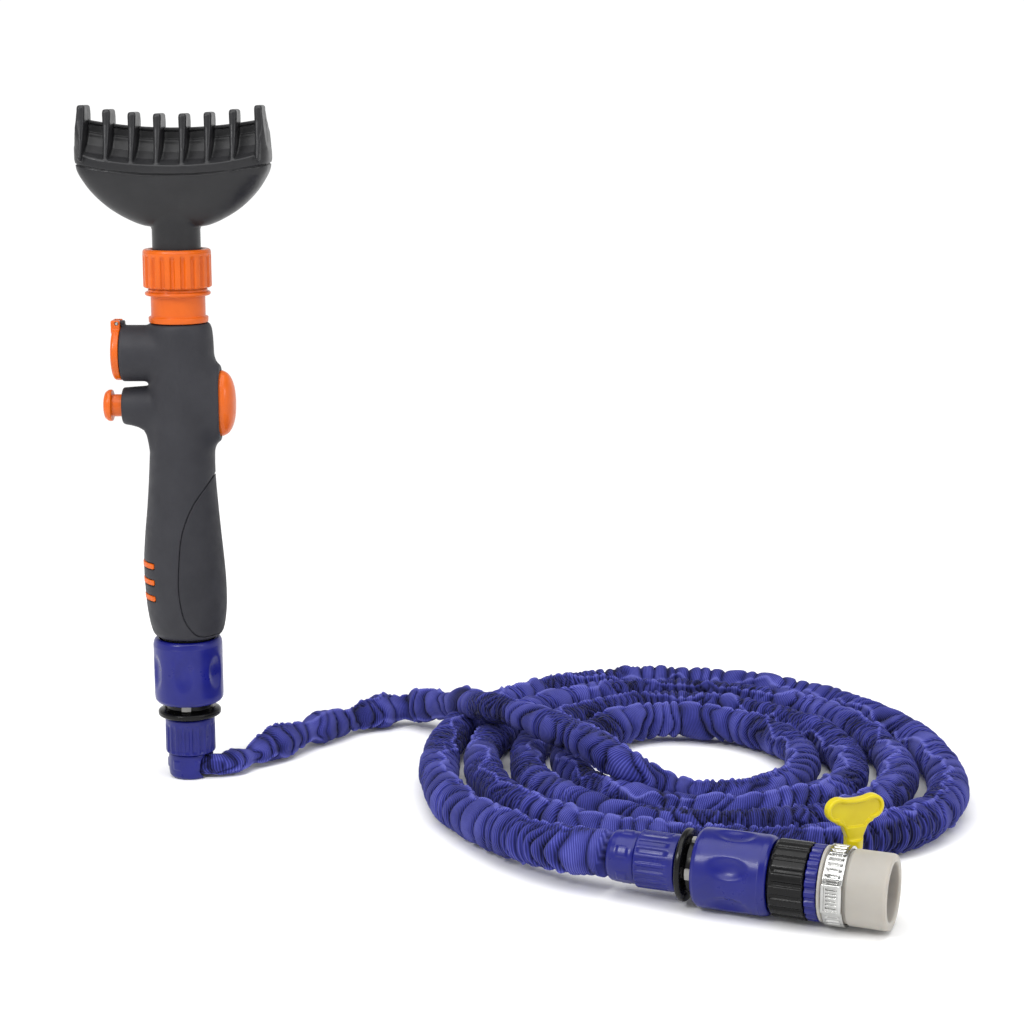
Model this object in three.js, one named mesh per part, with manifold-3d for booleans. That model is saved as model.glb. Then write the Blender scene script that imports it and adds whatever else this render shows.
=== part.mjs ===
// Handheld bath sprayer: comb head, grip with soap port, two quick couplers, fabric hose, tap sleeve.
// Millimetres, +Z up. The origin is on the floor under the upright sprayer's axis, +X runs towards the
// coiled hose, and the comb faces -Y.
import * as THREE from 'three';
import { mergeVertices } from 'three/addons/utils/BufferGeometryUtils.js';
import Module from 'manifold-3d';

const wasm = await Module();
wasm.setup();

// ---------------------------------------------------------------- driving dimensions
const GAP = 0.3; // air between pieces that touch on the real object
const ROUND = 12; // sides of a turned part

const COUPLER = {
  ferruleTop: 12.8, ferruleR: 11.2, nutTop: 31, nutR: 12.4, nutRibs: 20,
  flangeBottom: 32, flangeTop: 36, flangeR: 15.7, coreR: 11.2, coreTop: 66, socketR: 8.4, socketBottom: 45,
  collarBottom: 39.4, collarTop: 72.2, collarR: 17.2, collarBore: 15.2, dimples: 6,
  nippleR: 7.9, nippleBottom: 47, nippleFlangeR: 13.2, nippleFlangeBottom: 69.4, bore: 4.2,
};

const GRIP = { bottom: 73, top: 230, wall: 2.4, panelDepth: 1.6 };
// Height, radius and sideways offset of the grip's round sections.
const GRIP_SECTIONS = [
  [73, 16.3, 0.6], [77, 17.9, 0.5], [86, 19.5, 0.3], [99, 20.1, -0.1], [111, 19.9, -0.6], [125, 18.8, -0.7],
  [139, 17.5, -0.5], [156, 16.3, -0.3], [174, 15.9, 0.3], [214, 16.0, 0.8], [227, 15.3, 0.7], [230, 14.3, 0.6],
];
const BUTTON = { z: 190.3, halfY: 11.6, halfZ: 17.3, seatX: 17.4, frontX: 27.5, skirtX: 12.5 };
const FILLER = { z: 215, r: 13.8, bore: 12, endX: -27.8, floorX: -11, capR: 13.2, hingeX: -29.6, hingeZ: 229.9 };
const DOSER = { z: 189.2, r: 8.8, bore: 5.9, endX: -28.2, stemR: 5.5, headR: 7.8, headX: -33, frontX: -37.5 };
const STRIPE_HEIGHTS = [94.6, 102.8, 111];

const NECK = { tubeR: 13.7, discZ: 244.5, discR: 16, spigotR: 13.9, spigotTop: 255.6 };
const UNION = { bottom: 247.4, top: 265.4, r: 16.9, ribs: 20, bore: 14.5, lipZ: 262.9, lipBore: 12.8 };
const HEAD = {
  halfWidth: 46.5, halfDepth: 20, neckR: 12.2, neckBottom: 257.4, seamZ: 302.2, rimZ: 306.4, archRise: 4.3,
  archHalf: 44, finPitch: 12.05, fins: 8, finWidth: 4, finTop: 24.2, wall: 2.3,
};
// Height, half-width and half-depth of the bowl's sections under the comb.
const BOWL_SECTIONS = [
  [276.4, 10.5, 6.5], [277.4, 16.2, 8.2], [279.8, 22.2, 10.2], [284.5, 30.2, 13], [289.3, 35.9, 15.3],
  [294.1, 40.2, 17.1], [299, 43.4, 18.6], [303.7, 45.7, 19.6], [308, 46.5, 20],
];
// The comb plate's profile from front to back: depth, and height above the front rim.
const PLATE_PROFILE = [
  [-20, 0], [-12, 3.4], [-6, 7.2], [-2.5, 10.6], [-0.6, 13.6], [0, 17.2], [3.5, 17.2], [11, 12.4], [20, 3],
];

const HOSE = { coilHeight: 21.8, leadR: 8.3, startR: 6.2 };
const FAR = { x: 206.3, y: -167.1, z: 17.4, angle: THREE.MathUtils.degToRad(22) };
const ADAPTER = {
  nutBottom: 72.8, nutTop: 88, nutR: 16.5, ringBottom: 88.5, ringTop: 93.4, ringR: 16.1, barbTop: 110.5,
  sleeveTop: 122.8, sleeveR: 16, sleeveBore: 12.3, bandBottom: 96.1, bandTop: 104.7, bandR: 17,
};
const CLAMP = {
  screwY: -20.9, housingFrom: -3, housingTo: 8.9, keyBottom: 9.5, neckTop: 20.5, lobeX: 7.9, lobeZ: 27.3, lobeR: 5,
  turn: THREE.MathUtils.degToRad(44),
};

// ---------------------------------------------------------------- solids and booleans
function solid(geometry) {
  const bare = geometry.index ? geometry.toNonIndexed() : geometry.clone();
  bare.deleteAttribute('normal');
  bare.deleteAttribute('uv');
  const merged = mergeVertices(bare, 1e-4);
  const index = Array.from(merged.index.array);
  const position = merged.attributes.position;
  const corners = [new THREE.Vector3(), new THREE.Vector3(), new THREE.Vector3()];
  const triangles = [];
  let volume = 0;
  for (let i = 0; i < index.length; i += 3) {
    const face = index.slice(i, i + 3);
    if (new Set(face).size < 3) continue;
    face.forEach((vertex, k) => corners[k].fromBufferAttribute(position, vertex));
    volume += corners[0].dot(corners[1].clone().cross(corners[2]));
    triangles.push(face);
  }
  const triVerts = Uint32Array.from(triangles.flatMap((f) => (volume > 0 ? f : [f[0], f[2], f[1]])));
  const vertProperties = new Float32Array(position.array);
  return new wasm.Manifold(new wasm.Mesh({ numProp: 3, vertProperties, triVerts }));
}

function geometryOf(manifold) {
  const mesh = manifold.getMesh();
  const geometry = new THREE.BufferGeometry();
  geometry.setAttribute('position', new THREE.BufferAttribute(new Float32Array(mesh.vertProperties), 3));
  geometry.setIndex(new THREE.BufferAttribute(new Uint32Array(mesh.triVerts), 1));
  geometry.computeVertexNormals();
  return geometry;
}

const union = (first, ...rest) => rest.reduce((sum, piece) => sum.add(piece), first);
const cut = (first, ...rest) => rest.reduce((sum, piece) => sum.subtract(piece), first);

// A turned part about Z from [radius, height] pairs.
function turnedGeometry(profile, sides = ROUND) {
  const points = profile.map(([radius, height]) => new THREE.Vector2(radius, height));
  return new THREE.LatheGeometry(points, sides).rotateX(Math.PI / 2);
}

const turned = (profile, sides = ROUND) => solid(turnedGeometry(profile, sides));

// A plain round bar about Z.
const bar = (radius, from, to, sides = ROUND) =>
  turned([[0, from], [radius, from], [radius, to], [0, to]], sides);

// A plain round bar along X.
function barX(radius, from, to, y, z, sides = ROUND) {
  const geometry = new THREE.CylinderGeometry(radius, radius, to - from, sides);
  return solid(geometry.rotateZ(Math.PI / 2).translate((from + to) / 2, y, z));
}

// A plain round bar along Y, centred on y = 0.
function barY(radius, length, x, z, sides = ROUND) {
  return solid(new THREE.CylinderGeometry(radius, radius, length, sides).translate(x, 0, z));
}

function ring(radius, wire, z, sides = ROUND) {
  return solid(new THREE.TorusGeometry(radius, wire, 4, sides).translate(0, 0, z));
}

function block(low, high) {
  const size = high.map((value, k) => value - low[k]);
  const middle = high.map((value, k) => (value + low[k]) / 2);
  return solid(new THREE.BoxGeometry(...size).translate(...middle));
}

// An outline in X and Y raised from one height to another.
function raised(shape, from, to, curveSegments = 12) {
  const settings = { depth: to - from, bevelEnabled: false, curveSegments };
  return solid(new THREE.ExtrudeGeometry(shape, settings).translate(0, 0, from));
}

// An outline in X and Z, extruded along Y from front to back.
function slab(shape, front, back) {
  const settings = { depth: back - front, bevelEnabled: false, curveSegments: 16 };
  const geometry = new THREE.ExtrudeGeometry(shape, settings);
  return solid(geometry.rotateX(Math.PI / 2).translate(0, back, 0));
}

const outline = (points) => new THREE.Shape(points.map(([x, y]) => new THREE.Vector2(x, y)));

// A round outline with fine pointed ribs.
function flutedOutline(radius, depth, ribs) {
  const points = [];
  for (let k = 0; k < ribs * 2; k += 1) {
    const angle = (k / ribs) * Math.PI;
    const r = k % 2 ? radius - depth : radius;
    points.push([r * Math.cos(angle), r * Math.sin(angle)]);
  }
  return outline(points);
}

// A round outline with straight-sided ribs, each rib covering half of its pitch.
function ribbedOutline(radius, depth, ribs) {
  const points = [];
  for (let k = 0; k < ribs; k += 1) {
    for (const [turn, r] of [[0.04, radius], [0.56, radius], [0.64, radius - depth], [0.96, radius - depth]]) {
      const angle = ((k + turn) / ribs) * Math.PI * 2;
      points.push([r * Math.cos(angle), r * Math.sin(angle)]);
    }
  }
  return outline(points);
}

// A coil spring about Z.
function springSolid(radius, wire, from, to, turns) {
  const points = [];
  const steps = turns * 8;
  for (let i = 0; i <= steps; i += 1) {
    const angle = (i / 8) * Math.PI * 2;
    points.push(new THREE.Vector3(
      radius * Math.cos(angle), radius * Math.sin(angle), from + wire + (to - from - 2 * wire) * (i / steps)));
  }
  const section = new THREE.Shape().absarc(0, 0, wire, 0, Math.PI * 2);
  const path = new THREE.CatmullRomCurve3(points);
  const settings = { steps, bevelEnabled: false, extrudePath: path, curveSegments: 2 };
  return solid(new THREE.ExtrudeGeometry(section, settings));
}

// ---------------------------------------------------------------- materials
const material = (color, roughness, metalness = 0, opacity = 1) =>
  new THREE.MeshStandardMaterial({ color, roughness, metalness, opacity, transparent: opacity < 1 });

const MATERIALS = {
  headGrey: material(0x47474a, 0.42),
  gripGrey: material(0x48484d, 0.62),
  orange: material(0xfa6c1e, 0.35),
  blue: material(0x2a2c8c, 0.3),
  black: material(0x1c1c1e, 0.35),
  innerGrey: material(0x8c8c90, 0.5),
  white: material(0xe6e4de, 0.4),
  rubber: material(0x141414, 0.8),
  steel: material(0xc8cacc, 0.25, 1),
  yellow: material(0xebd714, 0.3),
  silicone: material(0xccc8be, 0.45, 0, 0.85),
  fabric: material(0x323496, 0.9),
};

const sprayer = new THREE.Group();
sprayer.name = 'handheld_bath_sprayer';

function place(group, name, manifold, finish) {
  const mesh = new THREE.Mesh(geometryOf(manifold), MATERIALS[finish]);
  mesh.name = name;
  group.add(mesh);
}

// ---------------------------------------------------------------- quick coupler, about Z from the hose end
function ferrule(notch) {
  const c = COUPLER;
  const shell = turned([
    [7.9, 0], [c.ferruleR - 1.6, 0], [c.ferruleR - 0.4, 1.6], [c.ferruleR, 4], [c.ferruleR, 11.2],
    [c.ferruleR - 0.6, c.ferruleTop], [7.9, c.ferruleTop], [7.9, 0],
  ]);
  return notch ? shell.subtract(notch) : shell;
}

function hoseNut() {
  const c = COUPLER;
  const ribbed = raised(flutedOutline(c.nutR, 0.7, c.nutRibs), c.ferruleTop + GAP, c.nutTop);
  return cut(ribbed, bar(8.9, 17.5, c.nutTop + 1), bar(7.9, c.ferruleTop, 18));
}

// The black body: hose barb, threaded spigot, flange ring, neck and the socket for the nipple.
function couplerCore() {
  const c = COUPLER;
  const body = turned([
    [0, 16.5], [5.6, 16.5], [5.6, 20], [8.6, 20], [8.6, c.flangeBottom], [c.flangeR - 0.7, c.flangeBottom],
    [c.flangeR, c.flangeBottom + 0.8], [c.flangeR, c.flangeTop - 0.8], [c.flangeR - 0.7, c.flangeTop],
    [c.coreR, c.flangeTop], [c.coreR, c.coreTop - 1], [c.coreR - 1, c.coreTop], [0, c.coreTop],
  ]);
  const passage = bar(c.bore, 10, c.socketBottom + 1);
  const socket = bar(c.socketR, c.socketBottom, c.coreTop + 1);
  return cut(body, passage, socket);
}

// The sliding release collar, with a lip at its hose end and six oval finger dimples.
function releaseCollar() {
  const c = COUPLER;
  let collar = turned([
    [14.2, c.collarBottom], [c.collarR - 1.4, c.collarBottom], [c.collarR - 0.2, c.collarBottom + 1.6],
    [c.collarR, c.collarBottom + 4], [c.collarR, c.collarTop - 3], [c.collarR - 0.5, c.collarTop - 1],
    [c.collarR - 1.4, c.collarTop], [14.2, c.collarTop], [14.2, c.collarTop - 2],
    [c.collarBore, c.collarTop - 3], [c.collarBore, c.collarBottom + 2.6], [14.2, c.collarBottom + 2.6],
    [14.2, c.collarBottom],
  ], 20);
  for (let k = 0; k < c.dimples; k += 1) {
    const dish = new THREE.SphereGeometry(1, 8, 5).scale(4, 5.6, 9.2).translate(c.collarR + 3.2, 0, 56);
    dish.rotateZ(((k + 0.5) / c.dimples) * Math.PI * 2);
    collar = collar.subtract(solid(dish));
  }
  return collar;
}

// Four latch fingers joined by a band, showing between the flange ring and the collar.
function latchClaws() {
  const c = COUPLER;
  const inner = c.coreR + GAP;
  const outer = 12.9;
  const band = turned([[inner, 56.5], [outer, 56.5], [outer, 60], [inner, 60], [inner, 56.5]]);
  const tube = turned([
    [inner, c.flangeTop + GAP], [outer, c.flangeTop + GAP], [outer, 57], [inner, 57],
    [inner, c.flangeTop + GAP],
  ]);
  const along = block([-20, -2.3, 30], [20, 2.3, 58]);
  const across = block([-2.3, -20, 30], [2.3, 20, 58]);
  return union(band, tube.intersect(union(along, across)));
}

function couplerSpring() {
  return springSolid(14.5, 0.3, 42.6, 55.6, 3);
}

// The male nipple that plugs into a socket; its threaded end runs up to the given height.
function nipple(threadR, threadTop) {
  const c = COUPLER;
  const body = turned([
    [0, c.nippleBottom], [c.nippleR - 1, c.nippleBottom], [c.nippleR, c.nippleBottom + 1],
    [c.nippleR, 50.5], [c.nippleR - 1.3, 50.5], [c.nippleR - 1.3, 53.1], [c.nippleR, 53.1],
    [c.nippleR, 67], [9.6, 67], [9.6, c.nippleFlangeBottom], [c.nippleFlangeR, c.nippleFlangeBottom],
    [c.nippleFlangeR, c.collarTop + 0.4], [threadR, c.collarTop + 0.4], [threadR, threadTop], [0, threadTop],
  ]);
  return body.subtract(bar(c.bore, 40, threadTop + 1));
}

const nippleSeal = () => ring(7.45, 0.7, 51.8);

function addCoupler(group, prefix, notch) {
  place(group, `${prefix}_hose_ferrule`, ferrule(notch), 'blue');
  place(group, `${prefix}_hose_nut`, hoseNut(), 'blue');
  place(group, `${prefix}_coupler_core`, couplerCore(), 'black');
  place(group, `${prefix}_release_collar`, releaseCollar(), 'blue');
  place(group, `${prefix}_latch_claws`, latchClaws(), 'white');
  place(group, `${prefix}_collar_spring`, couplerSpring(), 'steel');
}

// ---------------------------------------------------------------- grip
// The grip's round sections, grown or shrunk, leaning with their sideways offsets.
function gripForm(grow, from = GRIP.bottom, to = GRIP.top) {
  const inside = GRIP_SECTIONS.filter(([z]) => z > from + 0.5 && z < to - 0.5);
  const heights = [from, ...inside.map(([z]) => z), to];
  const profile = heights.map((z) => [gripAt(z).radius + grow, z]);
  const geometry = turnedGeometry([[0, from], ...profile, [0, to]], 16);
  const position = geometry.attributes.position;
  for (let i = 0; i < position.count; i += 1) {
    position.setX(i, position.getX(i) + gripAt(position.getZ(i)).shift);
  }
  return solid(geometry);
}

function gripAt(z) {
  const last = GRIP_SECTIONS.length - 1;
  const upper = Math.min(Math.max(GRIP_SECTIONS.findIndex(([height]) => height >= z), 1), last);
  const [z0, r0, s0] = GRIP_SECTIONS[upper - 1];
  const [z1, r1, s1] = GRIP_SECTIONS[upper];
  const t = THREE.MathUtils.clamp((z - z0) / (z1 - z0), 0, 1);
  return { radius: r0 + (r1 - r0) * t, shift: s0 + (s1 - s0) * t };
}

// The palm-side panel: everything to the right of a curved seam.
function panelRegion(grow) {
  const seam = [[18, 158.5], [12.5, 150], [6.5, 141], [1.5, 128], [-0.3, 113], [-0.6, 97], [2, 84], [6.5, 76.5]];
  const shape = outline([...seam.map(([x, z]) => [x - grow, z]), [8.5, 75.4 - grow], [30, 75.4 - grow],
    [30, 158.5 + grow], [18, 158.5 + grow]]);
  return slab(shape, -30, 30);
}

// A strip of the grip's skin on its left side.
function stripeSector(z, inner, outer, halfHeight, halfAngle) {
  const { shift } = gripAt(z);
  const shape = new THREE.Shape();
  shape.absarc(shift, 0, outer, Math.PI - halfAngle, Math.PI + halfAngle, false);
  shape.absarc(shift, 0, inner, Math.PI + halfAngle, Math.PI - halfAngle, true);
  return raised(shape, z - halfHeight, z + halfHeight, 2);
}

function ellipseBarX(halfY, halfZ, from, to) {
  const geometry = new THREE.CylinderGeometry(1, 1, to - from, 14).rotateZ(Math.PI / 2);
  return solid(geometry.scale(1, halfY, halfZ).translate((from + to) / 2, 0, BUTTON.z));
}

function gripBody() {
  const stripeGrooves = STRIPE_HEIGHTS.map((z) => stripeSector(z, gripAt(z).radius - 1.3, 24, 1.6, 0.86));
  const panelRecess = panelRegion(GAP).intersect(cut(gripForm(1), gripForm(-GRIP.panelDepth - GAP)));
  const fillerPort = barX(FILLER.r, FILLER.endX, -4, 0, FILLER.z);
  const doserPort = barX(DOSER.r, DOSER.endX, -4, 0, DOSER.z);
  const doserFillet = slab(outline([[-28.2, 184], [-26, 182.3], [-17, 174.5], [-10, 172], [-10, 190]]), -6.6, 6.6);
  const seat = ellipseBarX(BUTTON.halfY + 1.7, BUTTON.halfZ + 1.9, 8, BUTTON.seatX + 0.4);
  const ears = [-1, 1].flatMap((side) => {
    const [nearY, farY] = side > 0 ? [3.3, 5.5] : [-5.5, -3.3];
    const top = FILLER.hingeZ + 1.3;
    return [
      block([FILLER.hingeX - 1.4, nearY, FILLER.hingeZ - 1.4], [-25, farY, top]),
      block([FILLER.endX, nearY, 226], [-25, farY, top]),
    ];
  });
  const outer = union(gripForm(0), fillerPort, doserPort, doserFillet, seat, ...ears);
  const hollow = gripForm(-GRIP.wall - GRIP.panelDepth, 90.6, 226);
  const fillerBulkhead = barX(FILLER.bore + 1.6, FILLER.floorX - 2, FILLER.floorX + 2.5, 0, FILLER.z);
  const cavity = cut(
    hollow, fillerPort.intersect(barX(20, -40, FILLER.floorX + 1.6, 0, FILLER.z)), fillerBulkhead,
    doserPort.intersect(barX(20, -40, -11, 0, DOSER.z)));
  return cut(
    outer, cavity, panelRecess, ...stripeGrooves,
    bar(10.9, 70, 91),
    bar(11.8, 225, 232),
    barX(FILLER.bore, -40, FILLER.floorX, 0, FILLER.z),
    barX(DOSER.bore, -40, -10, 0, DOSER.z),
    ellipseBarX(BUTTON.halfY + 0.4, BUTTON.halfZ + 0.4, 9.5, 25),
    barY(0.95, 12, FILLER.hingeX, FILLER.hingeZ, 8));
}

function gripPanel() {
  const skin = cut(gripForm(0), gripForm(-GRIP.panelDepth));
  return skin.intersect(panelRegion(0));
}

function gripStripe(z) {
  return stripeSector(z, gripAt(z).radius - 0.9, gripAt(z).radius + 0.25, 1.3, 0.84);
}

// ---------------------------------------------------------------- water way and valve inside the grip
function waterTube(from, to) {
  return turned([[4.3, from], [6, from], [6, to], [4.3, to], [4.3, from]]);
}

function valveBody() {
  const barrel = bar(8.6, 180, 200.5);
  const wet = bar(4.3, 170, 210);
  const stemBore = barX(2.4, -20, 20, 0, BUTTON.z, 8);
  return cut(barrel, wet, stemBore.intersect(block([-6.4, -9, 180], [20, 9, 200])));
}

function valveStem() {
  return barX(2, -1.5, BUTTON.skirtX + 0.7, 0, BUTTON.z, 8);
}

function valveSeal() {
  const torus = new THREE.TorusGeometry(3, 0.55, 4, 8).rotateY(Math.PI / 2);
  return solid(torus.translate(9.6, 0, BUTTON.z));
}

function buttonSpring() {
  const along = new THREE.Matrix4().makeRotationY(Math.PI / 2).setPosition(0, 0, BUTTON.z);
  const geometry = geometryOf(springSolid(6, 0.45, 9, 15.1, 3)).applyMatrix4(along);
  return solid(geometry);
}

// A domed oval thumb button with a hollow skirt that slides in its pocket.
function thumbButton() {
  const b = BUTTON;
  const dome = new THREE.SphereGeometry(1, 14, 10).scale(b.frontX - b.seatX - 0.6, b.halfY, b.halfZ);
  const front = solid(dome.translate(b.seatX + 0.6, 0, b.z)).intersect(
    block([b.seatX + 0.6, -20, 160], [40, 20, 220]));
  const skirt = ellipseBarX(b.halfY, b.halfZ, b.skirtX + 1.6, b.seatX + 0.7);
  const springPocket = barX(7.2, b.skirtX, 15.4, 0, b.z);
  const stemSocket = barX(2.3, b.skirtX, 13.5, 0, b.z, 8);
  return cut(union(front, skirt), springPocket, stemSocket);
}

// ---------------------------------------------------------------- filler cap and dosing knob
function fillerCap() {
  const f = FILLER;
  const lid = new THREE.LatheGeometry(
    [[0, 0], [11.3, 0], [f.capR, 0], [f.capR, 2.6], [12.6, 3.6], [9, 4.3], [4, 4.6], [0, 4.7]].map(
      ([radius, height]) => new THREE.Vector2(radius, height)), ROUND);
  const cap = solid(lid.rotateZ(Math.PI / 2).translate(f.endX - GAP, 0, f.z));
  const plug = cut(barX(11, f.endX - 1, f.endX + 2.6, 0, f.z), barX(8.6, f.endX, f.endX + 4, 0, f.z));
  const knuckle = block([f.hingeX - 1.5, -2.9, 226.6], [f.hingeX + 1.5, 2.9, f.hingeZ + 1.3]);
  const groove = cut(barX(12, f.endX + 0.5, f.endX + 1.9, 0, f.z), barX(10, f.endX, f.endX + 3, 0, f.z));
  return cut(union(cap, plug, knuckle), groove, barY(0.95, 12, f.hingeX, f.hingeZ, 8));
}

function fillerSeal() {
  const torus = new THREE.TorusGeometry(10.95, 0.5, 4, ROUND).rotateY(Math.PI / 2);
  return solid(torus.translate(FILLER.endX + 1.2, 0, FILLER.z));
}

const capHingePin = () => barY(0.7, 10.6, FILLER.hingeX, FILLER.hingeZ, 8);

function dosingKnob() {
  const d = DOSER;
  const profile = [
    [0, -13.5], [4.4, -13.5], [4.4, -16], [d.stemR, -16], [d.stemR, -19], [4.5, -19], [4.5, -20.8],
    [d.stemR, -20.8], [d.stemR, d.headX], [d.headR - 0.6, d.headX], [d.headR, d.headX - 0.8],
    [d.headR, d.headX - 2.4], [d.headR - 1.2, d.frontX + 0.5], [5.4, d.frontX], [4.9, d.frontX + 0.5],
    [0, d.frontX + 0.5],
  ];
  const geometry = new THREE.LatheGeometry(profile.map(([r, x]) => new THREE.Vector2(r, x)), ROUND);
  return solid(geometry.rotateZ(-Math.PI / 2).translate(0, 0, d.z));
}

function dosingSeal() {
  const torus = new THREE.TorusGeometry(5.1, 0.45, 4, ROUND).rotateY(Math.PI / 2);
  return solid(torus.translate(-19.9, 0, DOSER.z));
}

// ---------------------------------------------------------------- neck, union nut and head
function neckAdapter() {
  const n = NECK;
  const body = turned([
    [11.4, 226.6], [11.4, 230.5], [14.2, 230.4], [14.9, 231.2], [14.9, 232.6], [n.tubeR, 233.6],
    [n.tubeR, 243.4], [n.discR - 0.4, 243.6], [n.discR, n.discZ], [n.discR - 0.4, 245.3],
    [14.4, 245.5], [14.4, 246.6], [n.spigotR, 246.8], [n.spigotR, n.spigotTop], [8.2, n.spigotTop], [8.2, 240],
    [6.3, 234], [6.3, 226.6], [11.4, 226.6],
  ]);
  return body;
}

function unionNut() {
  const u = UNION;
  const ribbed = raised(ribbedOutline(u.r, 0.9, u.ribs), u.bottom, u.top - 2.2);
  const shoulder = turned([
    [0, u.top - 6], [u.r - 0.2, u.top - 6], [u.r, u.top - 3.4], [u.r - 0.3, u.top - 1.6],
    [u.r - 2, u.top], [0, u.top],
  ]);
  return cut(union(ribbed, shoulder), bar(u.bore, u.bottom - 1, u.lipZ), bar(u.lipBore, u.lipZ - 1, u.top + 1));
}

const neckWasher = () => turned([[8.4, 255.9], [13, 255.9], [13, 257.1], [8.4, 257.1], [8.4, 255.9]]);

// The arch that the head's seam, rim and bar all follow.
const arch = (x) => HEAD.archRise * (x / HEAD.archHalf) ** 2;

// Bends a turned form of unit radius into the bowl's oval sections.
function bowlForm(grow, from) {
  const sections = BOWL_SECTIONS.map(([z, a, b]) => [Math.max(z, from), a + grow, b + grow]);
  const top = sections[sections.length - 1];
  const rows = [...sections, [top[0] + 12, top[1], top[2]]];
  const profile = rows.map((row, k) => [1, k]);
  const geometry = turnedGeometry([[0, 0], ...profile, [0, rows.length - 1]], 16);
  const position = geometry.attributes.position;
  for (let i = 0; i < position.count; i += 1) {
    const [z, a, b] = rows[Math.round(position.getZ(i))];
    const power = 2 + 1.4 * THREE.MathUtils.clamp((z - 277) / 25, 0, 1);
    const angle = Math.atan2(position.getY(i), position.getX(i));
    const reach = Math.hypot(position.getX(i), position.getY(i)) < 0.5 ? 0
      : (Math.abs(Math.cos(angle)) ** power + Math.abs(Math.sin(angle)) ** power) ** (-1 / power);
    position.setXYZ(i, reach * a * Math.cos(angle), reach * b * Math.sin(angle), z);
  }
  return solid(geometry);
}

// Everything above the arch at a given height, as wide and deep as the head.
function aboveArch(base) {
  const points = [];
  for (let k = -3; k <= 3; k += 1) points.push([k * 16.8, base + arch(k * 16.8)]);
  return slab(outline([...points, [60, 380], [-60, 380]]), -30, 30);
}

function headBowl() {
  const h = HEAD;
  const shell = cut(bowlForm(0, 0), bowlForm(-h.wall, 281), aboveArch(h.seamZ - GAP));
  const neck = turned([
    [0, h.neckBottom], [14, h.neckBottom], [14, 262.5], [h.neckR, 262.6], [h.neckR, 289], [0, 289],
  ]);
  const neckAbove = neck.intersect(bowlForm(0, 0));
  const neckBelow = neck.intersect(bar(20, 250, 283));
  const passage = union(bar(8.2, 250, 283), bowlForm(-h.wall, 281));
  return cut(union(shell, neckAbove, neckBelow), passage, aboveArch(h.seamZ - GAP));
}

// A thin seal that lies in the bowl's mouth, under the comb plate.
function headGasket() {
  const outer = bowlForm(-HEAD.wall - GAP, 281);
  const inner = bowlForm(-HEAD.wall - 2.2, 281);
  return cut(outer, inner, aboveArch(HEAD.seamZ - 0.5)).intersect(aboveArch(HEAD.seamZ - 2.3));
}

// The plate: a grid of columns whose tops follow the front-to-back profile and the sideways arch.
function plateForm(halfWidth, halfDepth, bottom, lower) {
  const rows = PLATE_PROFILE.length - 1;
  const geometry = new THREE.BoxGeometry(2, rows, 1, 10, rows, 1);
  const position = geometry.attributes.position;
  for (let i = 0; i < position.count; i += 1) {
    const [depth, height] = PLATE_PROFILE[Math.round(position.getY(i) + rows / 2)];
    const along = Math.sin((position.getX(i) * Math.PI) / 2);
    const taper = (1 - Math.abs(depth / 20) ** 3.4 * 0.14);
    const x = along * halfWidth * taper;
    const y = (depth / 20) * halfDepth * (1 - Math.abs(along) ** 7 * 0.12);
    const top = HEAD.rimZ + arch(x) + height - lower;
    position.setXYZ(i, x, y, position.getZ(i) > 0 ? top : bottom + arch(x));
  }
  return solid(geometry);
}

function combFin(x) {
  const base = HEAD.rimZ + arch(x);
  const side = outline([
    [-19.2, base - 0.5], [-15.2, base + 8], [-12.6, base + 17], [-11.8, base + 23], [-10.4, base + HEAD.finTop],
    [4, base + HEAD.finTop], [6, base + 21], [8.4, base + 8], [-6, base + 1],
  ]);
  const settings = { depth: HEAD.finWidth, bevelEnabled: false };
  const geometry = new THREE.ExtrudeGeometry(side, settings);
  const stand = new THREE.Matrix4().makeBasis(
    new THREE.Vector3(0, 1, 0), new THREE.Vector3(0, 0, 1), new THREE.Vector3(1, 0, 0));
  return solid(geometry.applyMatrix4(stand).translate(x - HEAD.finWidth / 2, 0, 0));
}

function combPlate() {
  const h = HEAD;
  let plate = plateForm(h.halfWidth - 0.1, h.halfDepth, h.seamZ, 0);
  const first = (-(h.fins - 1) / 2) * h.finPitch;
  for (let k = 0; k < h.fins; k += 1) plate = plate.add(combFin(first + k * h.finPitch));
  const inside = block([-38, -3.2, 290], [38, 14, 340]);
  plate = plate.subtract(plateForm(h.halfWidth - 3, h.halfDepth, 280, 2.6).intersect(inside));
  for (let bay = 0; bay < h.fins - 1; bay += 1) {
    const x = first + (bay + 0.5) * h.finPitch;
    const jet = new THREE.CylinderGeometry(0.8, 0.8, 12, 6).translate(x, 0, h.rimZ + arch(x) + 11.4);
    plate = plate.subtract(solid(jet));
  }
  return plate;
}

// ---------------------------------------------------------------- hose
// Where the hose leaves the sprayer's ferrule and how it runs to the coil, climbing over its turns.
const START_ROUTE = [
  [1, -1.2, 6.4], [9, -3.6, 6.4], [17, -2.4, 6.5], [25, 4, 6.8], [32, 13.5, 7.4], [40, 25, 8],
];
const LEAD_ROUTE = [
  [40.4, 25.6, 8.7], [50, 38, 8.8], [61, 53, 8.8], [73, 66, 8.8], [85, 78, 8.9], [97, 86, 9.2], [109, 87, 10.2],
  [121, 77, 13.4], [136, 52, 22], [153, 20, 29.5], [171, -8, 32], [189, -33, 32],
];
// The last stretch, from the coil's left side to the far ferrule.
const TAIL_ROUTE = [
  [127, -42, 11], [131, -68, 11], [141, -95, 11.4], [155, -119, 12.6], [171, -141, 14.6], [187, -156.5, 16.4],
  [203.5, -165.9, 17.4],
];

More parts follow.
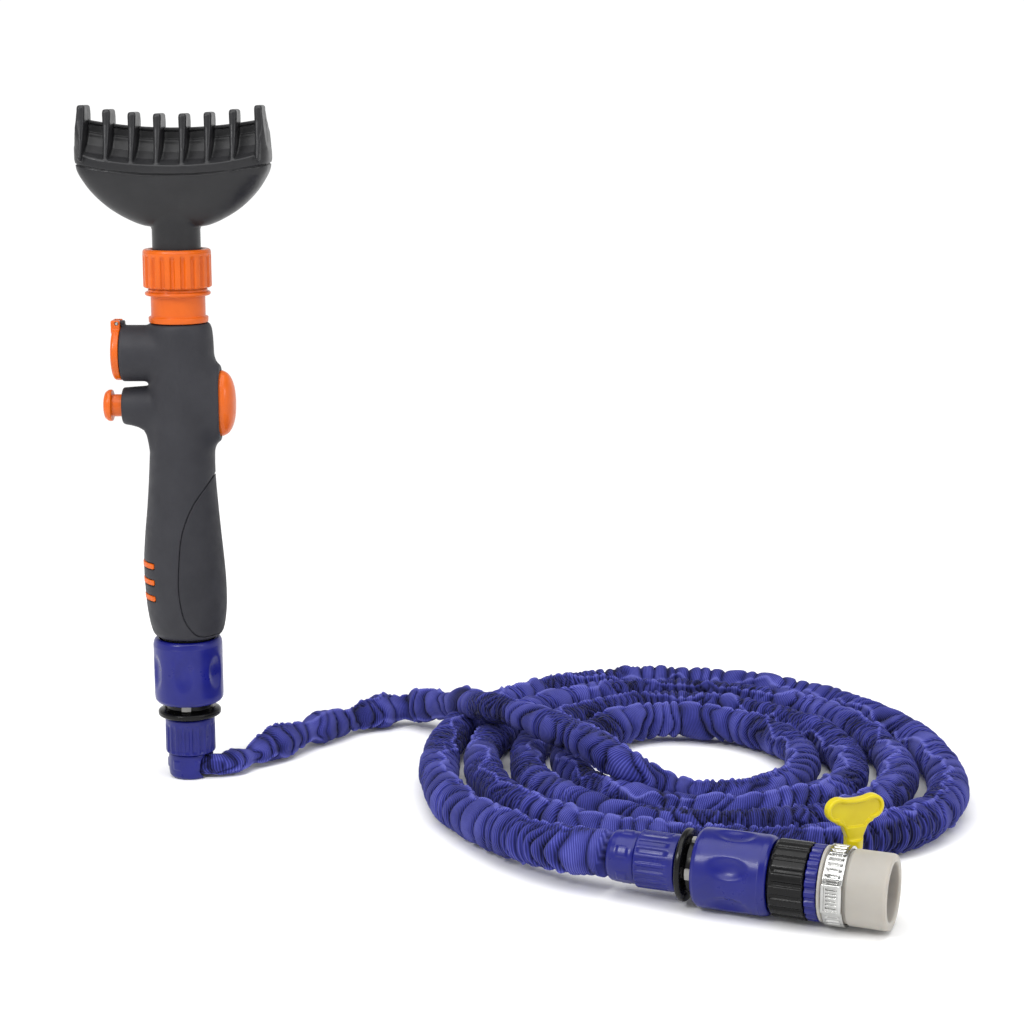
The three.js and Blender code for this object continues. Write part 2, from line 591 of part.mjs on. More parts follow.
function hoseTube(route, radius, steps) {
  const path = new THREE.CatmullRomCurve3(route.map(([x, y, z]) => new THREE.Vector3(x, y, z)), false, 'centripetal');
  const section = new THREE.Shape().absarc(0, 0, radius, 0, Math.PI * 2);
  const settings = { steps, bevelEnabled: false, extrudePath: path, curveSegments: 4 };
  return solid(new THREE.ExtrudeGeometry(section, settings));
}

// The coil's outer form: an oval ring as high as one hose.
function hoseCoil() {
  const middle = { x: 250.7, y: -1 };
  const top = HOSE.coilHeight;
  const profile = [[0.27, 0.8], [0.3, 0], [0.96, 0], [1, 5], [1, 16], [0.95, top], [0.3, top], [0.27, 17], [0.27, 0.8]];
  const geometry = turnedGeometry(profile, 24).scale(135.5, 146, 1).translate(middle.x, middle.y, 0);
  const leadNotch = hoseTube(LEAD_ROUTE, HOSE.leadR + 0.5, 20);
  return cut(solid(geometry), leadNotch, hoseTube(TAIL_ROUTE, top / 2 + 1, 8));
}

// ---------------------------------------------------------------- tap adapter, about Z in the far group
function adapterNut() {
  const a = ADAPTER;
  const ribbed = raised(ribbedOutline(a.nutR, 0.8, 18), a.nutBottom + 1.2, a.nutTop);
  const lip = bar(a.nutR - 0.8, a.nutBottom, a.nutBottom + 1.2);
  return cut(union(ribbed, lip), bar(10.8, a.nutBottom - 1, a.nutTop + 1));
}

// Scalloped blue ring with the barbed tube that the sleeve is clamped onto.
function adapterBarb() {
  const a = ADAPTER;
  const scallops = raised(flutedOutline(a.ringR, 0.9, 24), a.ringBottom, a.ringTop);
  const tube = turned([
    [0, 75], [10.2, 75], [10.2, a.ringBottom + 1], [11.6, a.ringBottom + 1], [11.6, 99], [10.9, 100],
    [11.8, 104.6], [10.9, 105.1], [11.6, a.barbTop - 1], [10.8, a.barbTop], [0, a.barbTop],
  ]);
  return cut(union(scallops, tube), bar(6.8, 70, 120));
}

function siliconeSleeve() {
  const a = ADAPTER;
  return turned([
    [12.1, a.ringTop + 0.4], [a.sleeveR + 0.1, a.ringTop + 0.4], [a.sleeveR + 0.1, a.ringTop + 1.8],
    [a.sleeveR - 0.6, a.ringTop + 2.2], [a.sleeveR - 0.6, a.bandTop + 0.6], [a.sleeveR, a.bandTop + 1.4],
    [a.sleeveR, a.sleeveTop - 1.4], [a.sleeveR - 0.5, a.sleeveTop - 0.3], [a.sleeveR - 1.4, a.sleeveTop],
    [a.sleeveBore + 0.5, a.sleeveTop], [a.sleeveBore, a.sleeveTop - 0.6], [12.1, a.ringTop + 0.4],
  ]);
}

function clampBand() {
  const a = ADAPTER;
  const inner = a.sleeveR - 0.6 + GAP;
  const band = turned([
    [inner, a.bandBottom], [a.bandR, a.bandBottom], [a.bandR, a.bandTop], [inner, a.bandTop], [inner, a.bandBottom],
  ]);
  const bridge = block([-4.6, 16.2, a.bandBottom + 0.6], [4.6, 17.9, a.bandTop - 0.6]);
  return union(band, bridge);
}

function clampHousing() {
  const c = CLAMP;
  const a = ADAPTER;
  const box = block([c.housingFrom, c.screwY - 4.4, a.bandBottom], [c.housingTo, -17.3, a.bandTop]);
  const bore = barX(3.3, c.housingFrom - 5, c.housingTo + 5, c.screwY, (a.bandBottom + a.bandTop) / 2);
  return cut(box, bore);
}

function clampScrew() {
  const c = CLAMP;
  const middle = (ADAPTER.bandBottom + ADAPTER.bandTop) / 2;
  const thread = barX(2.9, c.housingFrom + 0.6, c.housingTo - 0.4, c.screwY, middle);
  return union(thread, barX(2, c.housingFrom, c.keyBottom - GAP, c.screwY, middle));
}

// The butterfly key: a flat flared stem under a pair of rounded lobes.
function clampKey() {
  const c = CLAMP;
  const shape = new THREE.Shape();
  shape.moveTo(-3.6, c.keyBottom);
  shape.lineTo(3.6, c.keyBottom);
  shape.quadraticCurveTo(3.5, 17.5, 7.2, c.neckTop);
  shape.absarc(c.lobeX, c.lobeZ, c.lobeR, -0.75, Math.PI / 2, false);
  shape.quadraticCurveTo(0, c.lobeZ + c.lobeR - 1.6, -c.lobeX, c.lobeZ + c.lobeR);
  shape.absarc(-c.lobeX, c.lobeZ, c.lobeR, Math.PI / 2, Math.PI + 0.75, false);
  shape.lineTo(-7.2, c.neckTop);
  shape.quadraticCurveTo(-3.5, 17.5, -3.6, c.keyBottom);
  const settings = { depth: 4, bevelEnabled: false, curveSegments: 4 };
  const geometry = new THREE.ExtrudeGeometry(shape, settings).translate(0, 0, -2);
  const stand = new THREE.Matrix4().makeBasis(
    new THREE.Vector3(0, 0, 1), new THREE.Vector3(1, 0, 0), new THREE.Vector3(0, 1, 0));
  const middle = (ADAPTER.bandBottom + ADAPTER.bandTop) / 2;
  return solid(geometry.rotateY(c.turn).applyMatrix4(stand).translate(0, c.screwY, middle));
}

// ---------------------------------------------------------------- assembly
function addGrip() {
  place(sprayer, 'grip_body', gripBody(), 'gripGrey');
  place(sprayer, 'grip_panel', gripPanel(), 'gripGrey');
  STRIPE_HEIGHTS.forEach((z, k) => place(sprayer, `grip_stripe_${k + 1}`, gripStripe(z), 'orange'));
  place(sprayer, 'water_tube_lower', waterTube(89.4, 179.6), 'innerGrey');
  place(sprayer, 'water_tube_upper', waterTube(200.9, 226.2), 'innerGrey');
  place(sprayer, 'valve_body', valveBody(), 'innerGrey');
  place(sprayer, 'valve_stem', valveStem(), 'steel');
  place(sprayer, 'valve_seal', valveSeal(), 'rubber');
  place(sprayer, 'button_spring', buttonSpring(), 'steel');
  place(sprayer, 'thumb_button', thumbButton(), 'orange');
  place(sprayer, 'filler_cap', fillerCap(), 'orange');
  place(sprayer, 'filler_seal', fillerSeal(), 'rubber');
  place(sprayer, 'cap_hinge_pin', capHingePin(), 'steel');
  place(sprayer, 'dosing_knob', dosingKnob(), 'orange');
  place(sprayer, 'dosing_seal', dosingSeal(), 'rubber');
  place(sprayer, 'tail_nipple', nipple(10.5, 88.8), 'black');
  place(sprayer, 'tail_nipple_seal', nippleSeal(), 'rubber');
}

function addHead() {
  place(sprayer, 'neck_adapter', neckAdapter(), 'orange');
  place(sprayer, 'neck_washer', neckWasher(), 'rubber');
  place(sprayer, 'union_nut', unionNut(), 'orange');
  place(sprayer, 'head_bowl', headBowl(), 'headGrey');
  place(sprayer, 'head_gasket', headGasket(), 'rubber');
  place(sprayer, 'head_comb_plate', combPlate(), 'headGrey');
}

function addTapAdapter(group) {
  place(group, 'adapter_nipple', nipple(9.4, 74.4), 'black');
  place(group, 'adapter_nipple_seal', nippleSeal(), 'rubber');
  place(group, 'adapter_nut', adapterNut(), 'black');
  place(group, 'adapter_barb', adapterBarb(), 'blue');
  place(group, 'silicone_sleeve', siliconeSleeve(), 'silicone');
  place(group, 'clamp_band', clampBand(), 'steel');
  place(group, 'clamp_housing', clampHousing(), 'steel');
  place(group, 'clamp_screw', clampScrew(), 'steel');
  place(group, 'clamp_key', clampKey(), 'yellow');
}

function addHose() {
  place(sprayer, 'hose_start', hoseTube(START_ROUTE, HOSE.startR, 6), 'fabric');
  place(sprayer, 'hose_lead', hoseTube(LEAD_ROUTE, HOSE.leadR, 20), 'fabric');
  place(sprayer, 'hose_coil', hoseCoil(), 'fabric');
  place(sprayer, 'hose_tail', hoseTube(TAIL_ROUTE, HOSE.leadR, 6), 'fabric');
}

const hoseNotch = hoseTube(START_ROUTE, HOSE.startR + 0.7, 6);
addCoupler(sprayer, 'near', hoseNotch);
addGrip();
addHead();
addHose();

// The far end lies on the floor, its +Z along the stack and its +X straight up.
const farEnd = new THREE.Group();
const along = new THREE.Vector3(Math.cos(FAR.angle), -Math.sin(FAR.angle), 0);
const up = new THREE.Vector3(0, 0, 1);
const front = new THREE.Vector3().crossVectors(along, up);
farEnd.quaternion.setFromRotationMatrix(new THREE.Matrix4().makeBasis(up, front, along));
farEnd.position.set(FAR.x, FAR.y, FAR.z);
addCoupler(farEnd, 'far');
addTapAdapter(farEnd);
sprayer.add(farEnd);

export default sprayer;
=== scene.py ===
"""Handheld bath sprayer with its coiled fabric hose: the visual model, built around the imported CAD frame."""

import math

import bpy
import numpy as np
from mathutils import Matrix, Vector


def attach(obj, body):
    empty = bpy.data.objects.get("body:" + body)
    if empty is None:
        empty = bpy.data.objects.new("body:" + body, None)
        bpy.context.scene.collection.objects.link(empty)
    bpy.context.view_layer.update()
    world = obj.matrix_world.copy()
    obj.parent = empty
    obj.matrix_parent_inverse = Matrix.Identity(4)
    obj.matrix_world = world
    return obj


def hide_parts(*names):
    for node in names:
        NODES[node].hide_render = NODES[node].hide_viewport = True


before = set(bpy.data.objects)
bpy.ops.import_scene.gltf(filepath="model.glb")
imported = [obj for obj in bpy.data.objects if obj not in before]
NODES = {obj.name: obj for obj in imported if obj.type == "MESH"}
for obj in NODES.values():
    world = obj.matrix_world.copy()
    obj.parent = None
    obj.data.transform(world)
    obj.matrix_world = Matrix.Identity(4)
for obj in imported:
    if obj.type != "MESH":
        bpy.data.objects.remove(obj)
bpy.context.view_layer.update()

MM = 0.001
TAU = 2 * math.pi
SLOPE_STEP = 0.02  # mm, for measuring how steeply a field rises

# ---------------------------------------------------------------- driving dimensions, in mm

GRIP_BOTTOM, GRIP_TOP = 73, 230
GRIP_SECTIONS = [  # height, radius, sideways offset
    (73, 16.3, 0.6), (77, 17.9, 0.5), (86, 19.5, 0.3), (99, 20.1, -0.1), (111, 19.9, -0.6),
    (125, 18.8, -0.7), (139, 17.5, -0.5), (156, 16.3, -0.3), (174, 15.9, 0.3), (214, 16.0, 0.8),
    (227, 15.3, 0.7), (230, 14.3, 0.6),
]
GRIP_WALL = 4
LOWER_BORE, UPPER_BORE = 10.9, 11.8  # radii of the openings for the tail nipple and the neck
PANEL_SEAM = [  # height, x
    (75.4, 7.4), (84, 2), (97, -0.6), (113, -0.3), (128, 1.5), (141, 6.5), (150, 12.5), (158.5, 18),
]
PANEL_BOTTOM, PANEL_DEPTH = 75.4, 1.6
STRIPE_HEIGHTS = [94.6, 102.8, 111]
STRIPE_ANGLE = 0.84  # radians either side of the grip's left
FILLER_Z, FILLER_R, FILLER_BORE, FILLER_END = 215, 13.8, 12, -27.8
FILLER_BORE_FROM, FILLER_WALL_FROM = -11, -8.5  # x of the inner ends of the bore and of its wall
CAP_R, CAP_HINGE, HINGE_PIN_R = 13.2, (-29.6, 229.9), 0.95
DOSER_Z, DOSER_R, DOSER_BORE, DOSER_END = 189.2, 8.8, 5.9, -28.2
DOSER_BORE_FROM, DOSER_WALL_FROM = -6, -8
DOSER_SWEEP = [  # x, z
    (-26.4, 180.9), (-24, 180.3), (-20.8, 179), (-18.2, 177.2), (-16.6, 175), (-15.4, 172), (-14, 169),
    (-10, 168), (-10, 190), (-26.4, 190),
]
KNOB_PROFILE = [  # x, radius, from the tip inside the grip to the face
    (-13.5, 4.4), (-16, 4.4), (-16.05, 5.5), (-19, 5.5), (-19.05, 4.5), (-20.8, 4.5), (-20.85, 5.5),
    (-33.3, 5.5), (-33.6, 7.6), (-34.2, 7.8), (-35.4, 7.7), (-36.9, 6.6), (-37.5, 5.2),
]
KNOB_TIP, KNOB_FACE = KNOB_PROFILE[0][0], KNOB_PROFILE[-1][0]
BUTTON_Z, BUTTON_HALF_Y, BUTTON_HALF_Z = 190.3, 11.2, 16.0
SPRING_POCKET_R, SPRING_POCKET_END = 7.2, 19.8
BUTTON_SEAT, BUTTON_FRONT, BUTTON_SKIRT = 20.2, 26.9, 14.1

NECK_PROFILE = [
    (6.3, 226.6), (11.4, 226.6), (11.4, 230.5), (14.4, 230.4), (14.5, 233.0), (13.2, 233.5),
    (13.2, 243.4), (15.6, 243.6), (16, 244.5), (15.6, 245.3), (14.4, 245.5), (14.4, 246.6), (13.9, 246.8),
    (13.9, 255.6), (8.2, 255.6), (8.2, 240), (6.3, 234),
]
UNION_BOTTOM, UNION_TOP, UNION_R, UNION_RIBS = 247.4, 266, 16.5, 20

HEAD_NECK_R, HEAD_NECK_BOTTOM = 11.7, 257.4
SEAM_Z, RIM_Z, ARCH_RISE, ARCH_HALF = 302.2, 306.4, 4.3, 44
FINS, FIN_PITCH = 8, 12.05
BOWL_SECTIONS = [  # height, half-width, half-depth
    (276.4, 10.5, 6.5), (277.4, 16.2, 8.2), (279.8, 22.2, 10.2), (284.5, 30.2, 13), (289.3, 35.9, 15.3),
    (294.1, 40.2, 17.1), (299, 43.4, 18.6), (303.7, 45.7, 19.6), (308, 46.5, 20),
]
BOWL_WALL, PLATE_WALL, HEAD_BORE = 2.4, 2.8, 8.2
JET_R, JET_RISE = 0.55, 13.4
PLATE_PROFILE = [  # depth, height above the rim
    (-20.5, 0), (-19.2, 0.3), (-12, 2.6), (-6, 6.2), (-2.9, 9.6), (-2.3, 11.2), (-1.0, 12.2), (-0.9, 17.2),
    (3.5, 17.2), (11, 12.4), (20.5, 3),
]
PLATE_STEEPNESS = [  # depth, distance from the surface for each mm above it
    (-20, 0.93), (-12, 0.88), (-6, 0.8), (-2.5, 0.7), (-2.4, 0.3), (-0.9, 0.3), (-0.8, 1), (3.5, 1),
    (3.6, 0.8), (20, 0.8),
]
FIN_SIDE = [  # depth, height above the rim
    (-19.2, -0.5), (-15.2, 8), (-12.6, 17), (-11.8, 23), (-10.4, 24.2), (4, 24.2), (6, 21), (8.4, 8), (8, -2),
    (-18, -2),
]

FERRULE_TOP, FERRULE_R = 12.8, 11.2
NUT_TOP, NUT_R = 31, 12.4
COLLAR_R, DIMPLES, DIMPLE_Z = 17.2, 6, 56
DIMPLE_HALF_WIDTH, DIMPLE_HALF_LENGTH, DIMPLE_DEPTH, DIMPLE_SOFTNESS = 4.8, 7.8, 1.75, 0.2
NEAR_DIMPLE, FAR_DIMPLE = -TAU / 4, math.radians(68)  # the angle of one of them on each collar
CORE_PROFILE = [
    (4.2, 16.5), (5.6, 16.5), (5.6, 20), (8.6, 20), (8.6, 32), (15.0, 32.1), (15.7, 32.8), (15.7, 34.4),
    (15.0, 35), (12.6, 35.9), (11.2, 36), (11.2, 66), (8.4, 66), (8.4, 45), (4.2, 45),
]
COLLAR_PROFILE = [
    (14.2, 39.4), (15.8, 39.4), (17, 41), (COLLAR_R, 43.4), (COLLAR_R, 69.2), (16.7, 71.2), (15.8, 72.2),
    (14.2, 72.2), (14.2, 70.2), (15.2, 69.2), (15.2, 42), (14.2, 42),
]

FAR_PLACE = np.array([206.3, -167.1, 17.4])
FAR_ANGLE = math.radians(22)
ADAPTER_NUT_PROFILE = [(10.8, 72.8), (15.7, 72.8), (16.5, 74), (16.5, 88), (10.8, 88)]
BARB_PROFILE = [
    (6.8, 75), (10.2, 75), (10.2, 88.5), (16.1, 88.5), (16.1, 93.4), (11.6, 93.4), (11.6, 99), (10.9, 100),
    (11.8, 104.6), (10.9, 105.1), (11.6, 109.5), (10.8, 110.5), (6.8, 110.5),
]
SLEEVE_PROFILE = [
    (12.1, 93.8), (16.1, 93.8), (16.1, 95.2), (15.4, 95.6), (15.4, 105.3), (16, 106.1), (16, 121.4),
    (15.6, 122.6), (14.6, 122.8), (13.2, 122.8), (12.3, 122.2),
]
BAND_BOTTOM, BAND_TOP, BAND_R, BAND_SLOTS = 96.1, 104.7, 17, 40
BAND_MIDDLE = (BAND_BOTTOM + BAND_TOP) / 2
SCREW_Y = -20.9
KEY_TURN = math.radians(44)
KEY_BOTTOM, KEY_LOBE = 9.5, (8.4, 27.2, 5.3)  # a lobe's sideways place, height and radius

FLOOR_R, FLOOR_X, FLOOR_SIDES = 1.0, 0.16, 96  # metres, and the corners of its outline
HORIZON_LIGHT, ZENITH_LIGHT = 1.05, 0.35
LIGHTS = [  # name, place, target and side in metres, watts
    ("overhead", (0.16, -0.5, 2.4), (0.16, -0.1, 0), 2.8, 64),
    ("key", (-0.8, -1.1, 1.2), (0.1, 0, 0.15), 0.45, 12),
    ("fill", (1.4, -0.9, 0.9), (0.15, 0, 0.1), 0.5, 5),
]
CAMERA_PLACE, CAMERA_DIP, CAMERA_LENS = (0.1628, -1.0726, 0.3442), 11, 77.34  # metres, degrees, mm

HOSE_AROUND = 88  # mesh points round the hose
HOSE_RING = 0.8  # spacing of its rings
HOSE_FLOOR = 0.4  # the lowest fold lies this far above the floor
KNIT_RIB = 0.95  # spacing of the knit's ribs
START_ROUTE = [(1, -1.2, 6.4), (9, -3.6, 6.4), (17, -2.4, 6.5), (25, 4, 6.8), (32, 13.5, 7.4)]
LEAD_ROUTE = [
    (40.4, 25.6, 8.7), (50, 38, 8.8), (61, 53, 8.8), (73, 66, 8.8), (85, 78, 8.9), (97, 86, 9.2),
    (109, 87, 10.2), (121, 77, 13.4), (136, 52, 22), (153, 20, 29.5), (171, -8, 32), (189, -33, 32),
]
DIVE_ROUTE = [(207, -57, 30), (219, -68, 24.5), (229, -69, 17.5)]
TAIL_ROUTE = [
    (127, -42, 11), (131, -68, 11), (141, -95, 11.4), (155, -119, 12.6), (171, -141, 14.6),
    (187, -156.5, 16.4), (203.5, -165.9, 17.4),
]
COIL_X, COIL_Y, COIL_Z = 252, -10, 11
COIL_TURNS = (0.22, 4.02)  # where the spiral starts and ends, in turns from its left-hand side
COIL_POINTS_A_TURN = 16
HOSE_RADII = [  # distance from the sprayer's ferrule, radius
    (0, 5.2), (16, 5.4), (34, 6.6), (60, 7.4), (90, 6.8), (130, 7.8), (180, 8.0), (330, 8.6), (470, 9.4),
    (900, 9.9), (3200, 10.6),
]


def coil_point(turn):
    """The centreline of the flat coil: an oval spiral, rounder at its back right."""
    angle = math.pi + TAU * turn
    c, s = math.cos(angle), math.sin(angle)
    half_x = 38 + 22 * turn if c < 0 else 45 + 22.5 * turn
    half_y = 55 + 22 * turn if s < 0 else 48.5 + 25.5 * turn
    power = 0.86 if s > 0 and c > 0 else 1
    x = math.copysign(abs(c) ** power, c)
    y = math.copysign(abs(s) ** power, s)
    return (COIL_X + half_x * x, COIL_Y - 7 * turn * max(0, c) + half_y * y, COIL_Z)


def coil_route():
    first, last = COIL_TURNS
    count = round((last - first) * COIL_POINTS_A_TURN)
    return [coil_point(first + (last - first) * i / count) for i in range(count + 1)]


# ---------------------------------------------------------------- mesh helpers


def smooth_curve(points, spacing):
    """Points spread evenly along a smooth curve through the given ones, and their distances along it."""
    p = np.array(points, float)
    knots = np.concatenate([[0], np.cumsum(np.linalg.norm(np.diff(p, axis=0), axis=1) ** 0.5)])
    slope = np.gradient(p, knots, axis=0)
    dense = []
    for i in range(len(p) - 1):
        t = np.linspace(0, 1, 24, endpoint=False)[:, None]
        gap = knots[i + 1] - knots[i]
        dense.append(
            p[i] * (2 * t**3 - 3 * t**2 + 1) + slope[i] * gap * (t**3 - 2 * t**2 + t)
            + p[i + 1] * (3 * t**2 - 2 * t**3) + slope[i + 1] * gap * (t**3 - t**2)
        )
    dense = np.concatenate([*dense, p[-1:]])
    along = np.concatenate([[0], np.cumsum(np.linalg.norm(np.diff(dense, axis=0), axis=1))])
    even = np.linspace(0, along[-1], max(2, round(along[-1] / spacing)) + 1)
    return np.stack([np.interp(even, along, dense[:, k]) for k in range(p.shape[1])], axis=1), even


def smoothstep(x, low=0.0, high=1.0):
    t = np.clip((x - low) / (high - low), 0, 1)
    return t * t * (3 - 2 * t)


def join_soft(a, b, width):
    """The union of two fields with a fillet of about that width."""
    h = np.clip(0.5 + 0.5 * (b - a) / width, 0, 1)
    return b + (a - b) * h - width * h * (1 - h)


def meet_soft(a, b, width):
    """What two fields share, with a rounded edge of about that width."""
    return -join_soft(-a, -b, width)


def add_mesh(name, points, faces, material, body, cad=()):
    """A smooth-shaded mesh from points in mm that rides on a body and stands for its CAD nodes."""
    mesh = bpy.data.meshes.new(name)
    mesh.from_pydata((np.asarray(points, float) * MM).tolist(), [], faces)
    mesh.validate()
    mesh.shade_smooth()
    mesh.materials.append(material)
    piece = bpy.data.objects.new(name, mesh)
    bpy.context.scene.collection.objects.link(piece)
    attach(piece, body)
    if cad:
        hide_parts(*cad)
    return piece


def ring_faces(rings, around, closed=False):
    """Quads between rings of points; closed joins the last ring to the first."""
    i, j = np.meshgrid(np.arange(rings if closed else rings - 1), np.arange(around), indexing="ij")
    k, n = (j + 1) % around, (i + 1) % rings
    quads = np.stack([i * around + j, i * around + k, n * around + k, n * around + j], axis=-1)
    return quads.reshape(-1, 4).tolist()


def capped_faces(rings, around):
    """Quads between rings of points and a face over each end."""
    ends = [list(range(around - 1, -1, -1)), list(range((rings - 1) * around, rings * around))]
    return ring_faces(rings, around) + ends


def rounded(profile, radius, spacing=2.0):
    """A closed profile of (r, z) points with its corners rounded and its long sides divided."""
    p = np.array(profile, float)
    out = []
    for k in range(len(p)):
        before, here, after = p[k - 1], p[k], p[(k + 1) % len(p)]
        back, ahead = before - here, after - here
        cut = min(radius, 0.45 * np.linalg.norm(back), 0.45 * np.linalg.norm(ahead))
        start, end = here + back / np.linalg.norm(back) * cut, here + ahead / np.linalg.norm(ahead) * cut
        if out:
            gap = np.linalg.norm(start - out[-1])
            steps = np.linspace(0, 1, int(gap / spacing) + 1)[1:-1]
            out.extend(out[-1] + (start - out[-1]) * t for t in steps)
        for t in np.linspace(0, 1, 5):
            out.append(start * (1 - t) ** 2 + here * 2 * t * (1 - t) + end * t * t)
    gap = np.linalg.norm(out[0] - out[-1])
    out.extend(out[-1] + (out[0] - out[-1]) * t for t in np.linspace(0, 1, int(gap / spacing) + 1)[1:-1])
    return np.array(out)


def turned(name, profile, place, material, body, cad=(), around=128, corner=0.5, reshape=None,
           spacing=2.0):
    """A ring turned from a closed profile. reshape(r, angle, z) gives each point's new radius."""
    p = rounded(profile, corner, spacing)
    after = np.roll(p, -1, axis=0)
    if (p[:, 0] * after[:, 1] - after[:, 0] * p[:, 1]).sum() < 0:
        p = p[::-1]
    angle = np.arange(around) * TAU / around
    r, turn = np.meshgrid(p[:, 0], angle, indexing="ij")
    z = np.repeat(p[:, 1:2], around, axis=1)
    if reshape:
        r = reshape(r, turn, z)
    points = np.stack([r * np.cos(turn), r * np.sin(turn), z], axis=-1).reshape(-1, 3)
    return add_mesh(name, place(points), ring_faces(len(p), around, closed=True), material, body, cad)


def carved(name, field, low, high, step, place, material, body, cad=()):
    """A closed surface where field(x, y, z) is 0, from the cells of a grid, drawn onto the true surface."""
    axes = [np.arange(a - 1.5 * step, b + 2.5 * step, step) for a, b in zip(low, high)]
    value = field(*np.meshgrid(*axes, indexing="ij"))
    shape = np.array(value.shape) - 1
    total, count = np.zeros((*shape, 3)), np.zeros(shape)
    edges = []
    for axis in range(3):
        lower = [slice(None)] * 3
        upper = [slice(None)] * 3
        lower[axis], upper[axis] = slice(0, -1), slice(1, None)
        a, b = value[tuple(lower)], value[tuple(upper)]
        index = np.argwhere((a < 0) != (b < 0))
        ahead = index.copy()
        ahead[:, axis] += 1
        start, end = value[tuple(index.T)], value[tuple(ahead.T)]
        place_on = index.astype(float)
        place_on[:, axis] += start / (start - end)
        cells = []
        others = [k for k in range(3) if k != axis]
        for da, db in ((1, 1), (0, 1), (0, 0), (1, 0)):
            cell = index.copy()
            cell[:, others[0]] -= da
            cell[:, others[1]] -= db
            cells.append(cell)
            np.add.at(total, tuple(cell.T), place_on)
            np.add.at(count, tuple(cell.T), 1)
        edges.append((cells, (start < 0) != (axis == 1)))
    used = np.argwhere(count > 0)
    number = np.full(shape, -1)
    number[tuple(used.T)] = np.arange(len(used))
    corner = total[tuple(used.T)] / count[tuple(used.T)][:, None]
    points = corner * step + [axis[0] for axis in axes]
    faces = []
    for cells, forward in edges:
        quad = np.stack([number[tuple(cell.T)] for cell in cells], axis=1)
        quad[~forward] = quad[~forward][:, ::-1]
        faces.append(quad)
    for _ in range(3):
        here = field(*points.T)
        slope = np.stack([field(*(points + d).T) - here for d in np.eye(3) * SLOPE_STEP], axis=1) / SLOPE_STEP
        move = -here[:, None] * slope / np.maximum((slope**2).sum(axis=1), 0.2)[:, None]
        length = np.linalg.norm(move, axis=1)[:, None]
        points = points + move * np.minimum(1, 0.3 * step / np.maximum(length, 1e-9))
    return add_mesh(name, place(points), np.concatenate(faces).tolist(), material, body, cad)


def near_place(points):
    """The sprayer's own frame."""
    return np.asarray(points, float)


def far_place(points):
    """The far end's frame: local z along its stack, local x straight up, local y to the front."""
    p = np.asarray(points, float)
    along = np.array([math.cos(FAR_ANGLE), -math.sin(FAR_ANGLE), 0])
    front = np.array([-math.sin(FAR_ANGLE), -math.cos(FAR_ANGLE), 0])
    return FAR_PLACE + p[:, 2:3] * along + p[:, 0:1] * np.array([0, 0, 1]) + p[:, 1:2] * front


def outline_field(corners, u, v):
    """Distance to a closed outline in a plane, negative inside."""
    best, inside = np.full(np.shape(u), 1e9), np.zeros(np.shape(u), bool)
    for (a, b), (c, d) in zip(corners, corners[1:] + corners[:1]):
        t = np.clip(((u - a) * (c - a) + (v - b) * (d - b)) / ((c - a) ** 2 + (d - b) ** 2), 0, 1)
        best = np.minimum(best, (u - a - t * (c - a)) ** 2 + (v - b - t * (d - b)) ** 2)
        if b != d:
            inside ^= ((b > v) != (d > v)) & (u < (c - a) * (v - b) / (d - b) + a)
    return np.where(inside, -1, 1) * np.sqrt(best)


def oval_field(y, z, half_y, half_z):
    """About the distance to an oval, negative inside."""
    near, slope = np.hypot(y / half_y, z / half_z), np.hypot(y / half_y**2, z / half_z**2)
    return near * (near - 1) / np.maximum(slope, 1e-6)


def box_field(x, y, z, low, high, corner):
    """A block with rounded edges."""
    sides = [np.abs(p - (a + b) / 2) - (b - a) / 2 + corner for p, a, b in zip((x, y, z), low, high)]
    outside = np.sqrt(sum(np.maximum(s, 0) ** 2 for s in sides))
    return outside + np.minimum(np.maximum(np.maximum(*sides[:2]), sides[2]), 0) - corner


def ribs(angle, count, share, soft=0.12):
    """1 on each of the ribs round a part and 0 in the grooves between them."""
    away = np.abs((angle * count / TAU) % 1 - 0.5) * 2
    return 1 - smoothstep(away, share - soft, share + soft)


# ---------------------------------------------------------------- grip


GRIP_CURVE = smooth_curve(GRIP_SECTIONS, 0.5)[0]
SEAM_CURVE = smooth_curve(PANEL_SEAM, 0.5)[0]


def grip_form(x, y, z):
    """Distance from the grip's round sections."""
    radius = np.interp(z, GRIP_CURVE[:, 0], GRIP_CURVE[:, 1])
    return np.hypot(x - np.interp(z, GRIP_CURVE[:, 0], GRIP_CURVE[:, 2]), y) - radius


def panel_form(x, z):
    """The palm-side panel's side of its curved seam."""
    seam = np.interp(z, SEAM_CURVE[:, 0], SEAM_CURVE[:, 1])
    lean = np.interp(z, SEAM_CURVE[:, 0], np.gradient(SEAM_CURVE[:, 1], SEAM_CURVE[:, 0]))
    return meet_soft((seam - x) / np.sqrt(1 + lean**2), PANEL_BOTTOM - z, 3)


def stripe_form(x, y, z, height, inner, outer, half_height, half_angle):
    """A strip of the grip's skin on its left side."""
    skin = grip_form(x, y, z)
    reach = np.abs(np.arctan2(y, -x)) * 20 - half_angle * 20
    side = meet_soft(np.abs(z - height) - half_height, reach, 1)
    return meet_soft(np.maximum(skin - outer, -inner - skin), side, 0.4)


def port_form(x, y, z, height, radius, end):
    """A round port out of the grip's left side; radius may vary along it."""
    return np.maximum(meet_soft(np.hypot(y, z - height) - radius, end - x, 0.9), x + 4)


